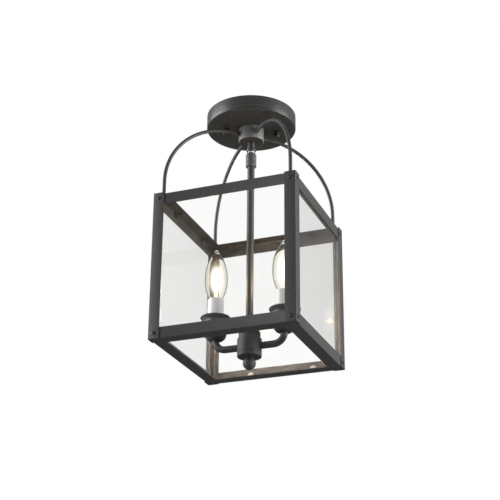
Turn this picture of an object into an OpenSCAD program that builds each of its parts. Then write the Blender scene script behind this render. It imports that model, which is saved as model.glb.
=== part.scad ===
// Porch ceiling lantern: an open square cage of angle bars with four clear panes, carried by four
// arched rods from a hub under a round canopy. A stem hangs inside it with a cluster of two candle
// lights. Millimetres, +Z up, origin at the centre of the ceiling plane, lights along X.

/* [Canopy] */
// Outside diameter of the canopy
canopy_d = 127; // [115:1:160]
// Height of the canopy, ceiling to underside
canopy_h = 21; // [18:1:32]
// Sheet thickness of the canopy
canopy_t = 1.2; // [0.8:0.1:2]
// Radius of the canopy's lower edge
canopy_edge_r = 1.8; // [1:0.1:4]
// Distance of the two canopy screws from the centre
canopy_screw_r = 36.5; // [34:0.5:44]
// Turn of the canopy screws from the X axis, degrees
canopy_screw_turn = 27; // [20:1:90]
// Diameter of a canopy screw
canopy_screw_d = 4; // [3.5:0.1:5]

/* [Mounting strap] */
// Length of the strap that is screwed to the ceiling box
box_strap_l = 102; // [98:1:110]
// Width of that strap
box_strap_w = 20; // [16:1:24]
// Thickness of both straps
strap_t = 1.6; // [1.2:0.1:2]
// Distance between the centres of the two slots
slot_spacing = 78; // [76:1:82]
// Length of each slot, end to end
slot_l = 17; // [10:0.5:17]
// Width of each slot
slot_w = 4.8; // [4.2:0.1:5.4]
// Width of the strap that carries the canopy screws
screw_strap_w = 16; // [12:1:20]

/* [Hub and nipple] */
// Diameter of the hub under the canopy
hub_d = 36; // [30:1:44]
// Height of the hub
hub_h = 20; // [16:1:28]
// Outside diameter of the threaded nipple
nipple_d = 10; // [9:0.1:11]
// Bore of the nipple, for the wires
nipple_bore = 7; // [5:0.1:7.5]
// Diameter of the ball-shaped bead under the hub
bead_d = 13.6; // [12.5:0.1:18]
// Height of the bead
bead_h = 8; // [6:0.5:12]
// Height of the neck between hub and bead
bead_neck_h = 7.6; // [3:0.2:12]
// Bare nipple between the bead and the collar
nipple_show = 2.6; // [1.6:0.2:10]

/* [Cage arms] */
// Diameter of the four arched rods
arm_d = 5; // [4:0.5:6]
// Straight run of a rod between the hub and its bend
arm_run = 10.5; // [8:0.5:20]
// Straight drop of a rod between its bend and the cage
arm_tail = 22; // [5:1:60]
// Distance of a rod from the cage's outside faces
arm_inset = 10.5; // [10:0.1:12]
// Outside diameter of the ferrule where a rod enters the hub
ferrule_d = 7; // [6.8:0.1:9]
// Length of the ferrule
ferrule_l = 6; // [3:0.5:8]
// Diameter of a rod's threaded end
arm_stud_d = 4; // [3:0.1:4]

/* [Cage] */
// Outside width and depth of the cage
cage_w = 203; // [165:1:260]
// Height of the cage
cage_h = 209; // [150:1:280]
// Leg of the angle bars as seen from the side
angle_leg = 16; // [14:0.5:22]
// Inward leg of the rails
rail_shelf = 18; // [17:0.5:24]
// Sheet thickness of the angle bars
angle_t = 1.5; // [1:0.1:2]
// Distance by which the posts stand above the top rails; at the bottom both end level
post_proud = 1; // [0.4:0.1:2]
// Distance of the corner screws from the cage's edges
corner_screw_in = 8; // [7:0.5:8]
// Head diameter of a corner screw
corner_screw_d = 5; // [4:0.1:6]

/* [Glass] */
// Thickness of the panes
glass_t = 2.5; // [2:0.1:3]
// Distance of the two glass clips at a pane's edge from the middle between them
clip_spread = 46; // [20:1:60]
// Distance of that middle from the middle of the pane
clip_shift = 11; // [0:1:18]
// Width of a glass clip
clip_w = 9; // [6:0.5:14]
// Height of a glass clip's upright tab
clip_h = 8; // [5:0.5:12]

/* [Stem] */
// Outside diameter of the stem
stem_d = 10; // [9.2:0.1:11]
// Wall of the stem and of the two light arms
tube_t = 1; // [0.8:0.1:1.4]
// Diameter of the collar at the top of the stem
collar_d = 15; // [13.5:0.5:20]
// Length of the collar
collar_l = 21.4; // [20:0.2:36]

/* [Cluster] */
// Height of the light arms above the cage's lower edge
cluster_lift = 11.6; // [4:0.2:60]
// Diameter of the cluster's drum
drum_d = 33; // [30:0.5:42]
// Height of the drum's upper part, above the arms' centre
drum_up = 10.8; // [8:0.2:14]
// Height of the drum below the arms' centre
drum_down = 14.8; // [12:0.2:20]
// Height of the drum's screwed-on base
drum_base_h = 5.4; // [4:0.2:6.5]
// Wall of the drum
drum_t = 1.8; // [1.2:0.1:2.4]
// Height of the turned cap above the drum
cap_h = 13; // [11:0.5:20]
// Diameter of the finial's ball
finial_d = 17.6; // [12:0.2:24]

/* [Lights] */
// Distance of each light from the centre
light_spread = 49.5; // [46:0.5:60]
// Outside diameter of the two light arms
light_arm_d = 9.5; // [8.6:0.1:10]
// Bend radius of the light arms
light_arm_r = 15; // [12:0.5:18]
// Diameter of the drip dish
dish_d = 41; // [36:0.5:46]
// Height of the dish
dish_h = 5; // [4:0.2:8]
// Diameter of the candle cup under the dish
cup_d = 31.2; // [28:0.2:34]
// Height of the candle cup
cup_h = 27.5; // [26:0.5:36]
// Outside diameter of the white candle sleeve
sleeve_d = 22.2; // [22:0.2:24]
// Length of the sleeve
sleeve_l = 29.5; // [27:0.5:60]

/* [Bulbs] */
// Largest diameter of the torpedo bulb
bulb_d = 31.6; // [26:0.2:36]
// Length of the bulb's glass above its base
bulb_l = 80; // [60:1:100]
// Distance from the tip to the widest place
bulb_crown = 45; // [30:1:55]
// Fullness of the bulb towards its tip
crown_power = 2.3; // [1.6:0.1:3]
// Fullness of the bulb towards its base
foot_power = 2.2; // [1.6:0.1:3]
// Thickness of the bulb's glass
bulb_wall = 0.8; // [0.5:0.1:1.2]
// Diameter of the screw base
base_d = 12.1; // [11.8:0.1:12.4]
// Height of the screw base
base_h = 18; // [16:0.5:20]

/* [Hidden] */
$fn = 48;

// Clearances: a seat between fixed pieces, and a turning fit between moving ones
seat_gap = 0.05;
running_gap = 0.05;
thread_gap = 0.08;
// A cut runs past the face that it opens by this much
past = 1;

// Canopy, straps and hub
nipple_hole_d = nipple_d + 2 * seat_gap;
screw_strap_end = 8;
screw_strap_l = 2 * (canopy_screw_r + screw_strap_end);
screw_head_d = 7;
screw_head_h = 1.4;
canopy_screw_out = 6;
canopy_nut_d = 8.5;
canopy_nut_h = 9.5;
canopy_hole_gap = 0.3;
nipple_nut_af = 15;
nipple_nut_h = 3;
hub_z = -canopy_h;
hub_edge = 0.8;
bead_top_z = hub_z - hub_h;
bead_neck_wall = 1.2;
bead_neck_d = nipple_d + 2 * bead_neck_wall;
collar_z = bead_top_z - bead_neck_h - bead_h - nipple_show;
nipple_in_collar = 10.5;
nipple_bottom_z = collar_z - nipple_in_collar;

// Arms of the cage, in the vertical planes through its corners
arm_z = hub_z - hub_h / 2;
arm_reach = (cage_w / 2 - arm_inset) * sqrt(2);
arm_bend_s = hub_d / 2 + arm_run;
arm_bend_r = arm_reach - arm_bend_s;
arm_depth_in_hub = 8;
arm_nut_af = 7;
arm_nut_h = 3.2;
arm_stud_out = 1;
first_corner_turn = 45;

// Cage
cage_top = arm_z - arm_bend_r - arm_tail + post_proud;
cage_bottom = cage_top - cage_h;
rail_out = cage_w / 2 - angle_t;
rail_top = cage_top - post_proud;
rail_bottom = cage_bottom;
corner_screw_shank_d = 3;
corner_screw_head_h = 1.6;
front_turn = 0;
right_turn = 90;
back_turn = 180;
left_turn = 270;

// Panes and their clips
glass_gap = 0.2;
glass_to_screw = 1;
glass_face = rail_out - angle_t - glass_gap;
glass_edge = cage_w / 2 - corner_screw_in - corner_screw_shank_d / 2 - glass_to_screw;
clip_t = 0.8;
clip_foot = 10;
clip_rivet_d = 4;
clip_rivet_h = 1;

// Stem and cluster
light_z = cage_bottom + cluster_lift;
drum_top = light_z + drum_up;
drum_bottom = light_z - drum_down;
cap_top = drum_top + cap_h;
cap_r = drum_d / 2 - drum_t;
cap_skirt = 2.6;
cap_shoulder_r = 3.4;
cap_shoulder_drop = 0.6;
cap_neck_wall = 2.4;
cap_neck_r = stem_d / 2 + cap_neck_wall;
cap_neck_h = 1.6;
cap_wall = 1.6;
collar_lip = 0.8;
collar_shoulder_h = 2.5;
collar_edge = 0.8;
collar_groove = 0.5;
collar_groove_h = 1.6;
collar_groove_up = 6.6;
nipple_end_gap = 0.5;
stem_seat_in_collar = 7.5;
stem_top = collar_z - collar_l + stem_seat_in_collar;
stem_in_cap = 10;
stem_bottom = cap_top - stem_in_cap;
rod_d = stem_d - 2 * tube_t - 2 * seat_gap;
rod_up = 16;
rod_wall = 1.4;
rod_in_finial = 6;
finial_ring_d = 11;
finial_ring_h = 2.2;
finial_sunk = 0.3;
finial_z = drum_bottom + finial_sunk - finial_d / 2;
seam_edge = 0.5;
base_edge = 1;
base_floor_t = 2;
spigot_h = 1.6;
spigot_wall = 2;
arm_in_drum = 3.5;

// Lights, from the arm's end up
cup_bottom = light_z + light_arm_r;
cup_top = cup_bottom + cup_h;
cup_wall = 1.8;
cup_neck_wall = 1.2;
cup_neck_d = light_arm_d + 2 * cup_neck_wall;
cup_neck_below = 1;
cup_floor_up = 4;
cup_foot_h = 9;
cup_foot_in = 0.6;
cup_side_up = 8;
cup_hollow_up = 2;
dish_floor_t = 1.2;
dish_rim_t = 1.8;
dish_lip = 1.2;
dish_lip_bevel = 1;
dish_wall_out = 1.6;
dish_wall_t = 0.6;
dish_hole_gap = 0.3;
dish_floor_r = cup_d / 2;
dish_floor_z = cup_top + dish_floor_t;
sleeve_wall = 1.1;
sleeve_top = dish_floor_z + sleeve_l;
socket_to_sleeve = 1.2;
socket_d = sleeve_d - 2 * sleeve_wall - 2 * socket_to_sleeve;
socket_below_dish = 12;
socket_bottom = cup_top - socket_below_dish;
arm_in_socket = 6;
shell_t = 0.5;
shell_d = base_d + 2 * thread_gap + 2 * shell_t;
shell_below_top = 1;
base_in_sleeve = 5;
base_top = sleeve_top - base_in_sleeve;
socket_top = base_top;
base_wall = 0.4;
base_cone_h = 2.6;
base_cone_in = 1;
contact_d = 4.8;
contact_h = 1.4;
contact_z = base_top - base_h - base_cone_h - contact_h;
tab_gap = 0.3;
tab_h = 5.7;
shell_bottom = contact_z - tab_gap - tab_h;
neck_d = base_d - 2 * base_wall - 2 * seat_gap;
neck_in_base = 4;
glass_bottom = base_top - neck_in_base;
tip_z = base_top + bulb_l;
crown_steps = 12;
foot_steps = 9;
filament_below_crown = 4;
filament_z = tip_z - bulb_crown - filament_below_crown;

// Points on an arc about (x, y), from one angle to another
function arc(x, y, r, from, to, steps = 6) =
  [for (i = [0:steps]) let (a = from + (to - from) * i / steps) [x + r * cos(a), y + r * sin(a)]];

// Radius of the torpedo bulb at a distance from its tip: one power curve up to the widest place, and
// a second from there down to the base
function torpedo_r(from_tip) =
  from_tip < bulb_crown
    ? bulb_d / 2 * (1 - pow(1 - from_tip / bulb_crown, crown_power))
    : neck_d / 2 + (bulb_d - neck_d) / 2
      * (1 - pow((from_tip - bulb_crown) / (bulb_l - bulb_crown), foot_power));

// Hexagonal nut with a round hole, across flats af
module hex_nut(af, h, hole_d) {
  difference() {
    cylinder(d = af / cos(30), h = h, $fn = 6);
    translate([0, 0, -past])
      cylinder(d = hole_d, h = h + 2 * past);
  }
}

// Flat bar along X with round ends
module round_bar(l, w, t) {
  linear_extrude(t)
    union() {
      square([l - w, w], center = true);
      for (side = [-1, 1])
        translate([side * (l - w) / 2, 0])
          circle(d = w);
    }
}

module at_corners() {
  for (turn = [0:90:270])
    rotate([0, 0, turn])
      children();
}

// ---- Mounting hardware inside the canopy ----

module box_strap() {
  color("#b9bcc0")
    difference() {
      translate([0, 0, -strap_t])
        round_bar(box_strap_l, box_strap_w, strap_t);
      translate([0, 0, -strap_t - past])
        cylinder(d = nipple_hole_d, h = strap_t + 2 * past);
      for (side = [-1, 1])
        translate([side * slot_spacing / 2, 0, -strap_t - past])
          round_bar(slot_l, slot_w, strap_t + 2 * past);
    }
}

module canopy_strap() {
  color("#b9bcc0")
    rotate([0, 0, canopy_screw_turn])
      difference() {
        translate([0, 0, -2 * strap_t])
          round_bar(screw_strap_l, screw_strap_w, strap_t);
        translate([0, 0, -2 * strap_t - past])
          cylinder(d = nipple_hole_d, h = strap_t + 2 * past);
        for (side = [-1, 1])
          translate([side * canopy_screw_r, 0, -2 * strap_t - past])
            cylinder(d = canopy_screw_d + 2 * seat_gap, h = strap_t + 2 * past);
      }
}

module canopy_screws() {
  color("#a9acb0")
    rotate([0, 0, canopy_screw_turn])
      for (side = [-1, 1])
        translate([side * canopy_screw_r, 0, 0]) {
          translate([0, 0, -canopy_h - canopy_screw_out])
            cylinder(d = canopy_screw_d, h = canopy_h + canopy_screw_out - strap_t);
          translate([0, 0, -strap_t])
            cylinder(d = screw_head_d, h = screw_head_h);
        }
}

// Domed nuts that hold the canopy up on its screws
module canopy_nuts() {
  dome_r = canopy_nut_d / 2;
  skirt = canopy_nut_h - dome_r;
  color("#3b3a39")
    rotate([0, 0, canopy_screw_turn])
      for (side = [-1, 1])
        translate([side * canopy_screw_r, 0, -canopy_h])
          difference() {
            rotate_extrude()
              polygon(concat([[0, 0], [dome_r, 0]], arc(0, -skirt, dome_r, 0, -90)));
            translate([0, 0, -canopy_screw_out])
              cylinder(d = canopy_screw_d + 2 * seat_gap, h = canopy_screw_out + past);
          }
}

// Spun pan, open towards the ceiling
module canopy() {
  r = canopy_d / 2;
  e = canopy_edge_r;
  t = canopy_t;
  color("#4a4744")
    difference() {
      rotate_extrude($fn = 96)
        polygon(concat(
          [[0, -canopy_h]],
          arc(r - e, -canopy_h + e, e, -90, 0),
          [[r, 0], [r - t, 0]],
          arc(r - e, -canopy_h + e, e - t, 0, -90),
          [[0, -canopy_h + t]]
        ));
      translate([0, 0, -canopy_h - past])
        cylinder(d = nipple_hole_d, h = canopy_t + 2 * past);
      rotate([0, 0, canopy_screw_turn])
        for (side = [-1, 1])
          translate([side * canopy_screw_r, 0, -canopy_h - past])
            cylinder(d = canopy_screw_d + 2 * canopy_hole_gap, h = canopy_t + 2 * past);
    }
}

module nipple() {
  h = -nipple_bottom_z - seat_gap;
  color("#c9ccd0")
    translate([0, 0, nipple_bottom_z])
      difference() {
        cylinder(d = nipple_d, h = h);
        translate([0, 0, -past])
          cylinder(d = nipple_bore, h = h + 2 * past);
      }
}

module nipple_nuts() {
  color("#b9bcc0")
    for (z = [-2 * strap_t - nipple_nut_h, -canopy_h + canopy_t])
      translate([0, 0, z])
        hex_nut(nipple_nut_af, nipple_nut_h, nipple_hole_d);
}

// ---- Hub ----

module hub() {
  r = hub_d / 2;
  color("#55524f")
    difference() {
      rotate_extrude($fn = 72)
        polygon([
          [nipple_hole_d / 2, hub_z],
          [r, hub_z],
          [r, hub_z - hub_h + hub_edge],
          [r - hub_edge, hub_z - hub_h],
          [nipple_hole_d / 2, hub_z - hub_h]
        ]);
      at_corners()
        rotate([0, 0, first_corner_turn])
          translate([r - arm_depth_in_hub, 0, arm_z])
            rotate([0, 90, 0])
              cylinder(d = arm_d + 2 * seat_gap, h = arm_depth_in_hub + past);
    }
}

// Turned bead: a short neck and a flattened ball
module hub_bead() {
  inner = nipple_hole_d / 2;
  neck = bead_neck_d / 2;
  ball_z = bead_top_z - bead_neck_h - bead_h / 2;
  bulge = bead_d / 2 - neck;
  color("#5b5855")
    rotate_extrude()
      polygon(concat(
        [[inner, bead_top_z], [neck, bead_top_z]],
        [for (a = [90:-18:-90]) [neck + bulge * cos(a), ball_z + bead_h / 2 * sin(a)]],
        [[inner, ball_z - bead_h / 2]]
      ));
}

// ---- Arched rods ----

// One rod: straight out of the hub, a quarter bend, and down to a threaded end under the cage's top
module arm(turn) {
  shoulder_z = rail_top;
  stud_bottom = rail_top - angle_t - arm_nut_h - arm_stud_out;
  color("#4a4846")
    rotate([0, 0, turn])
      union() {
        translate([hub_d / 2 - arm_depth_in_hub, 0, arm_z])
          rotate([0, 90, 0])
            cylinder(d = arm_d, h = arm_depth_in_hub + arm_run);
        translate([arm_bend_s, 0, arm_z - arm_bend_r])
          rotate([90, 0, 0])
            rotate_extrude(angle = 90, $fn = 120)
              translate([arm_bend_r, 0])
                circle(d = arm_d, $fn = 32);
        translate([arm_reach, 0, shoulder_z])
          cylinder(d = arm_d, h = arm_z - arm_bend_r - shoulder_z);
        translate([arm_reach, 0, stud_bottom])
          cylinder(d = arm_stud_d, h = shoulder_z - stud_bottom);
      }
}

module arm_ferrules() {
  color("#4a4846")
    at_corners()
      rotate([0, 0, first_corner_turn])
        translate([hub_d / 2, 0, arm_z])
          rotate([0, 90, 0])
            difference() {
              cylinder(d = ferrule_d, h = ferrule_l);
              translate([0, 0, -past])
                cylinder(d = arm_d + 2 * seat_gap, h = ferrule_l + 2 * past);
            }
}

module arm_nuts() {
  color("#3f3d3b")
    at_corners()
      rotate([0, 0, first_corner_turn])
        translate([arm_reach, 0, rail_top - angle_t - arm_nut_h])
          hex_nut(arm_nut_af, arm_nut_h, arm_stud_d + 2 * seat_gap);
}

// ---- Cage ----

// Angle post at the front left corner, turned to its own corner
module post(turn) {
  half = cage_w / 2;
  color("#504e4c")
    rotate([0, 0, turn])
      difference() {
        translate([-half, -half, cage_bottom])
          cube([angle_leg, angle_leg, cage_h]);
        translate([-half + angle_t, -half + angle_t, cage_bottom - past])
          cube([angle_leg, angle_leg, cage_h + 2 * past]);
        corner_screw_holes();
      }
}

// Holes for the four screws of the front left corner
module corner_screw_holes() {
  half = cage_w / 2;
  inner = half - corner_screw_in;
  for (z = [cage_top - corner_screw_in, cage_bottom + corner_screw_in]) {
    translate([-inner, -half - past, z])
      rotate([-90, 0, 0])
        cylinder(d = corner_screw_shank_d + 2 * seat_gap, h = 2 * angle_t + 2 * past);
    translate([-half - past, -inner, z])
      rotate([0, 90, 0])
        cylinder(d = corner_screw_shank_d + 2 * seat_gap, h = 2 * angle_t + 2 * past);
  }
}

// Angle rail of the front face, mitred at both ends. Its inward leg is at the top or at the bottom.
module rail(turn, z_low, leg_on_top) {
  shelf_z = leg_on_top ? z_low + angle_leg - angle_t : z_low;
  color("#504e4c")
    rotate([0, 0, turn])
      difference() {
        intersection() {
          union() {
            translate([-rail_out, -rail_out, z_low])
              cube([2 * rail_out, angle_t, angle_leg]);
            translate([-rail_out, -rail_out, shelf_z])
              cube([2 * rail_out, rail_shelf, angle_t]);
          }
          translate([0, 0, z_low - past])
            linear_extrude(angle_leg + 2 * past)
              polygon([[0, 0], [-rail_out, -rail_out], [rail_out, -rail_out]]);
        }
        for (corner = [0, 90])
          rotate([0, 0, corner])
            corner_screw_holes();
        if (leg_on_top)
          for (side = [-1, 1])
            translate([side * arm_reach / sqrt(2), -arm_reach / sqrt(2), shelf_z - past])
              cylinder(d = arm_stud_d + 2 * seat_gap, h = angle_t + 2 * past);
      }
}

module top_rail(turn) {
  rail(turn, rail_top - angle_leg, true);
}

module bottom_rail(turn) {
  rail(turn, rail_bottom, false);
}

// Domed screws, one through each post leg into each rail
module corner_screws() {
  half = cage_w / 2;
  inner = half - corner_screw_in;
  color("#2e2c2b")
    at_corners()
      for (z = [cage_top - corner_screw_in, cage_bottom + corner_screw_in]) {
        translate([-inner, -half, z])
          rotate([90, 0, 0])
            corner_screw();
        translate([-half, -inner, z])
          rotate([0, -90, 0])
            corner_screw();
      }
}

module corner_screw() {
  r = corner_screw_d / 2;
  rotate_extrude($fn = 32)
    polygon(concat(
      [[0, -2 * angle_t], [corner_screw_shank_d / 2, -2 * angle_t], [corner_screw_shank_d / 2, 0]],
      [for (a = [0:18:90]) [r * cos(a), corner_screw_head_h * sin(a)]]
    ));
}

// ---- Glass ----

module glass(turn) {
  h = rail_top - rail_bottom - 2 * angle_t;
  color("#e4edf0", 0.3)
    rotate([0, 0, turn])
      translate([-glass_edge, -glass_face, rail_bottom + angle_t])
        cube([2 * glass_edge, glass_t, h]);
}

// Bent tabs, riveted to the rails' inward legs, that hold each pane against the rails
module glass_clips() {
  color("#b59b5a")
    at_corners()
      for (side = [-1, 1])
        translate([side * clip_spread - clip_shift, -glass_face + glass_t, 0]) {
          translate([0, 0, rail_bottom + angle_t])
            glass_clip();
          translate([0, 0, rail_top - angle_t])
            mirror([0, 0, 1])
              glass_clip();
        }
}

module glass_clip() {
  union() {
    translate([-clip_w / 2, 0, 0])
      cube([clip_w, clip_t, clip_h]);
    translate([-clip_w / 2, 0, 0])
      cube([clip_w, clip_foot, clip_t]);
    translate([0, clip_foot / 2 + clip_t, clip_t])
      cylinder(d = clip_rivet_d, h = clip_rivet_h, $fn = 24);
  }
}

// ---- Stem ----

// Turned collar: it runs on the nipple above and holds the stem below
module collar() {
  r = collar_d / 2;
  bottom = collar_z - collar_l;
  mouth = nipple_d / 2 + running_gap;
  nipple_room = nipple_bottom_z - nipple_end_gap;
  stem_hole = stem_d / 2 + seat_gap;
  groove_r = r - collar_groove;
  groove_z = bottom + collar_groove_up;
  groove_top = groove_z + collar_groove_h;
  color("#5b5855")
    rotate_extrude()
      polygon([
        [mouth, collar_z],
        [mouth + collar_lip, collar_z],
        [r, collar_z - collar_shoulder_h],
        [r, groove_top],
        [groove_r, groove_top - collar_groove],
        [groove_r, groove_z + collar_groove],
        [r, groove_z],
        [r, bottom + collar_edge],
        [r - collar_edge, bottom],
        [stem_hole, bottom],
        [stem_hole, stem_top],
        [rod_d / 2, stem_top],
        [rod_d / 2, nipple_room],
        [mouth, nipple_room]
      ]);
}

module stem() {
  h = stem_top - stem_bottom;
  color("#4a4846")
    translate([0, 0, stem_bottom])
      difference() {
        cylinder(d = stem_d, h = h);
        translate([0, 0, -past])
          cylinder(d = stem_d - 2 * tube_t, h = h + 2 * past);
      }
}

// ---- Cluster ----

// Turned cap with a round shoulder and a neck for the stem
module cluster_cap() {
  bore = stem_d / 2 + seat_gap;
  r = cap_r - seat_gap;
  inner = r - cap_wall;
  shoulder_z = cap_top - cap_neck_h - cap_shoulder_drop - cap_shoulder_r;
  color("#4a4846")
    rotate_extrude()
      polygon(concat(
        [[bore, cap_top], [cap_neck_r, cap_top], [cap_neck_r, cap_top - cap_neck_h]],
        arc(r - cap_shoulder_r, shoulder_z, cap_shoulder_r, 90, 0),
        [[r, drum_top - cap_skirt], [inner, drum_top - cap_skirt]],
        arc(r - cap_shoulder_r, shoulder_z, cap_shoulder_r - cap_wall, 0, 90),
        [[bore, shoulder_z + cap_shoulder_r - cap_wall]]
      ));
}

module cluster_body() {
  r = drum_d / 2;
  h = drum_top - drum_bottom - drum_base_h;
  color("#4a4846")
    difference() {
      rotate_extrude()
        polygon([
          [cap_r, drum_top],
          [r - seam_edge, drum_top],
          [r, drum_top - seam_edge],
          [r, drum_top - h + seam_edge],
          [r - seam_edge, drum_top - h],
          [cap_r, drum_top - h]
        ]);
      for (side = [-1, 1])
        translate([side * cap_r - side * past, 0, light_z])
          rotate([0, side * 90, 0])
            cylinder(d = light_arm_d + 2 * seat_gap, h = drum_t + 2 * past);
    }
}

// Screwed-on base of the drum, with a spigot inside the wall
module cluster_base() {
  r = drum_d / 2;
  bore = rod_d / 2 + seat_gap;
  top = drum_bottom + drum_base_h;
  spigot_r = cap_r - seat_gap;
  inner = spigot_r - spigot_wall;
  color("#454342")
    rotate_extrude()
      polygon([
        [bore, drum_bottom],
        [r - base_edge, drum_bottom],
        [r, drum_bottom + base_edge],
        [r, top - seam_edge],
        [r - seam_edge, top],
        [spigot_r, top],
        [spigot_r, top + spigot_h],
        [inner, top + spigot_h],
        [inner, drum_bottom + base_floor_t],
        [bore, drum_bottom + base_floor_t]
      ]);
}

// Threaded tube from the stem's end to the finial, with a window for the wires inside the drum
module cluster_nipple() {
  bottom = drum_bottom - rod_in_finial;
  bore = rod_d - 2 * rod_wall;
  color("#c9ccd0")
    difference() {
      translate([0, 0, bottom])
        cylinder(d = rod_d, h = stem_bottom + rod_up - bottom);
      translate([0, 0, bottom - past])
        cylinder(d = bore, h = stem_bottom + rod_up - bottom + 2 * past);
      translate([-rod_d, 0, light_z])
        rotate([0, 90, 0])
          cylinder(d = bore, h = 2 * rod_d);
    }
}

module finial() {
  r = finial_d / 2;
  color("#454342")
    difference() {
      union() {
        translate([0, 0, finial_z])
          sphere(r = r, $fn = 64);
        translate([0, 0, drum_bottom - finial_ring_h])
          cylinder(d = finial_ring_d, h = finial_ring_h);
      }
      translate([0, 0, drum_bottom - rod_in_finial])
        cylinder(d = rod_d + 2 * seat_gap, h = rod_in_finial + past);
    }
}

// ---- Light arms, cups, dishes and sockets ----

// Outline of a light arm at a given diameter: out of the drum, a quarter bend, and up
module light_arm_form(d, over) {
  start = drum_d / 2 - drum_t - arm_in_drum;
  bend_x = light_spread - light_arm_r;
  top = socket_bottom + arm_in_socket;
  translate([start - over, 0, light_z])
    rotate([0, 90, 0])
      cylinder(d = d, h = bend_x - start + over);
  translate([bend_x, 0, light_z + light_arm_r])
    rotate([-90, 0, 0])
      rotate_extrude(angle = 90, $fn = 72)
        translate([light_arm_r, 0])
          circle(d = d, $fn = 32);
  translate([light_spread, 0, light_z + light_arm_r])
    cylinder(d = d, h = top - light_z - light_arm_r + over);
}

module light_arm(turn) {
  color("#4a4846")
    rotate([0, 0, turn])
      difference() {
        light_arm_form(light_arm_d, 0);
        light_arm_form(light_arm_d - 2 * tube_t, past);
      }
}

// Turned cup with a round foot on the arm, hollow above
module candle_cup(side) {
  r = cup_d / 2;
  bore = light_arm_d / 2 + seat_gap;
  foot = cup_neck_d / 2;
  low = cup_bottom - cup_neck_below;
  round_top = cup_bottom + cup_foot_h;
  round_w = r - cup_foot_in - foot;
  inner_floor = cup_bottom + cup_floor_up;
  color("#454342")
    translate([side * light_spread, 0, 0])
      rotate_extrude()
        polygon(concat(
          [[bore, low], [foot, low]],
          [for (a = [-90:11.25:0]) [foot + round_w * cos(a), round_top + cup_foot_h * sin(a)]],
          [[r, round_top + cup_side_up], [r, cup_top], [r - cup_wall, cup_top]],
          [[r - cup_wall, round_top + cup_hollow_up], [foot, inner_floor], [bore, inner_floor]]
        ));
}

// Shallow dish with a flared wall and a lip; the sleeve stands on its floor
module drip_dish(side) {
  hole = socket_d / 2 + dish_hole_gap;
  rim = dish_d / 2;
  rim_top = cup_top + dish_h;
  lip_r = rim - dish_lip;
  color("#3d3b3a")
    translate([side * light_spread, 0, 0])
      rotate_extrude()
        polygon([
          [hole, cup_top],
          [dish_floor_r, cup_top],
          [rim - dish_wall_out, rim_top - dish_rim_t],
          [rim, rim_top - dish_rim_t],
          [rim, rim_top],
          [lip_r, rim_top],
          [lip_r - dish_lip_bevel, rim_top - dish_lip_bevel],
          [dish_floor_r - dish_wall_t, dish_floor_z],
          [hole, dish_floor_z]
        ]);
}

// Moulded lamp holder: a bore for the screw shell above and one for the arm's end below
module socket(side) {
  shell_room = shell_d / 2 + seat_gap;
  color("#e9e6dd")
    translate([side * light_spread, 0, 0])
      difference() {
        translate([0, 0, socket_bottom])
          cylinder(d = socket_d, h = socket_top - socket_bottom);
        translate([0, 0, shell_bottom])
          cylinder(r = shell_room, h = socket_top - shell_bottom + past);
        translate([0, 0, socket_bottom - past])
          cylinder(d = light_arm_d + 2 * seat_gap, h = arm_in_socket + past);
      }
}

// Brass screw shell, and the sprung centre tab under the bulb
module socket_contacts(side) {
  tab_top = contact_z - tab_gap;
  color("#c2a35a")
    translate([side * light_spread, 0, 0]) {
      difference() {
        translate([0, 0, shell_bottom])
          cylinder(d = shell_d, h = socket_top - shell_below_top - shell_bottom);
        translate([0, 0, shell_bottom - past])
          cylinder(d = shell_d - 2 * shell_t, h = socket_top - shell_bottom + 2 * past);
      }
      translate([0, 0, shell_bottom])
        cylinder(d = contact_d, h = tab_top - shell_bottom);
    }
}

module sleeve(side) {
  color("#f1efe8")
    translate([side * light_spread, 0, dish_floor_z])
      difference() {
        cylinder(d = sleeve_d, h = sleeve_l);
        translate([0, 0, -past])
          cylinder(d = sleeve_d - 2 * sleeve_wall, h = sleeve_l + 2 * past);
      }
}

// ---- Bulbs ----

module bulb_glass(side) {
  steps = concat(
    [for (i = [1:crown_steps]) bulb_crown * i / crown_steps],
    [for (i = [1:foot_steps]) bulb_crown + (bulb_l - bulb_crown) * i / foot_steps]
  );
  n = len(steps);
  color("#f3efe2", 0.3)
    translate([side * light_spread, 0, 0])
      rotate_extrude($fn = 64)
        polygon(concat(
          [[0, tip_z]],
          [for (d = steps) [torpedo_r(d), tip_z - d]],
          [[neck_d / 2, glass_bottom], [neck_d / 2 - bulb_wall, glass_bottom]],
          [for (i = [0:n - 1]) let (d = steps[n - 1 - i])
            [torpedo_r(d) - bulb_wall, tip_z - d]],
          [[0, tip_z - 2 * bulb_wall]]
        ));
}

module bulb_base(side) {
  r = base_d / 2;
  bottom = base_top - base_h;
  floor_z = bottom + base_cone_in;
  color("#c2a35a")
    translate([side * light_spread, 0, 0])
      rotate_extrude()
        polygon([
          [0, bottom - base_cone_h],
          [contact_d / 2, bottom - base_cone_h],
          [r - base_cone_in, bottom],
          [r, floor_z],
          [r, base_top],
          [r - base_wall, base_top],
          [r - base_wall, floor_z],
          [0, floor_z]
        ]);
}

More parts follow.
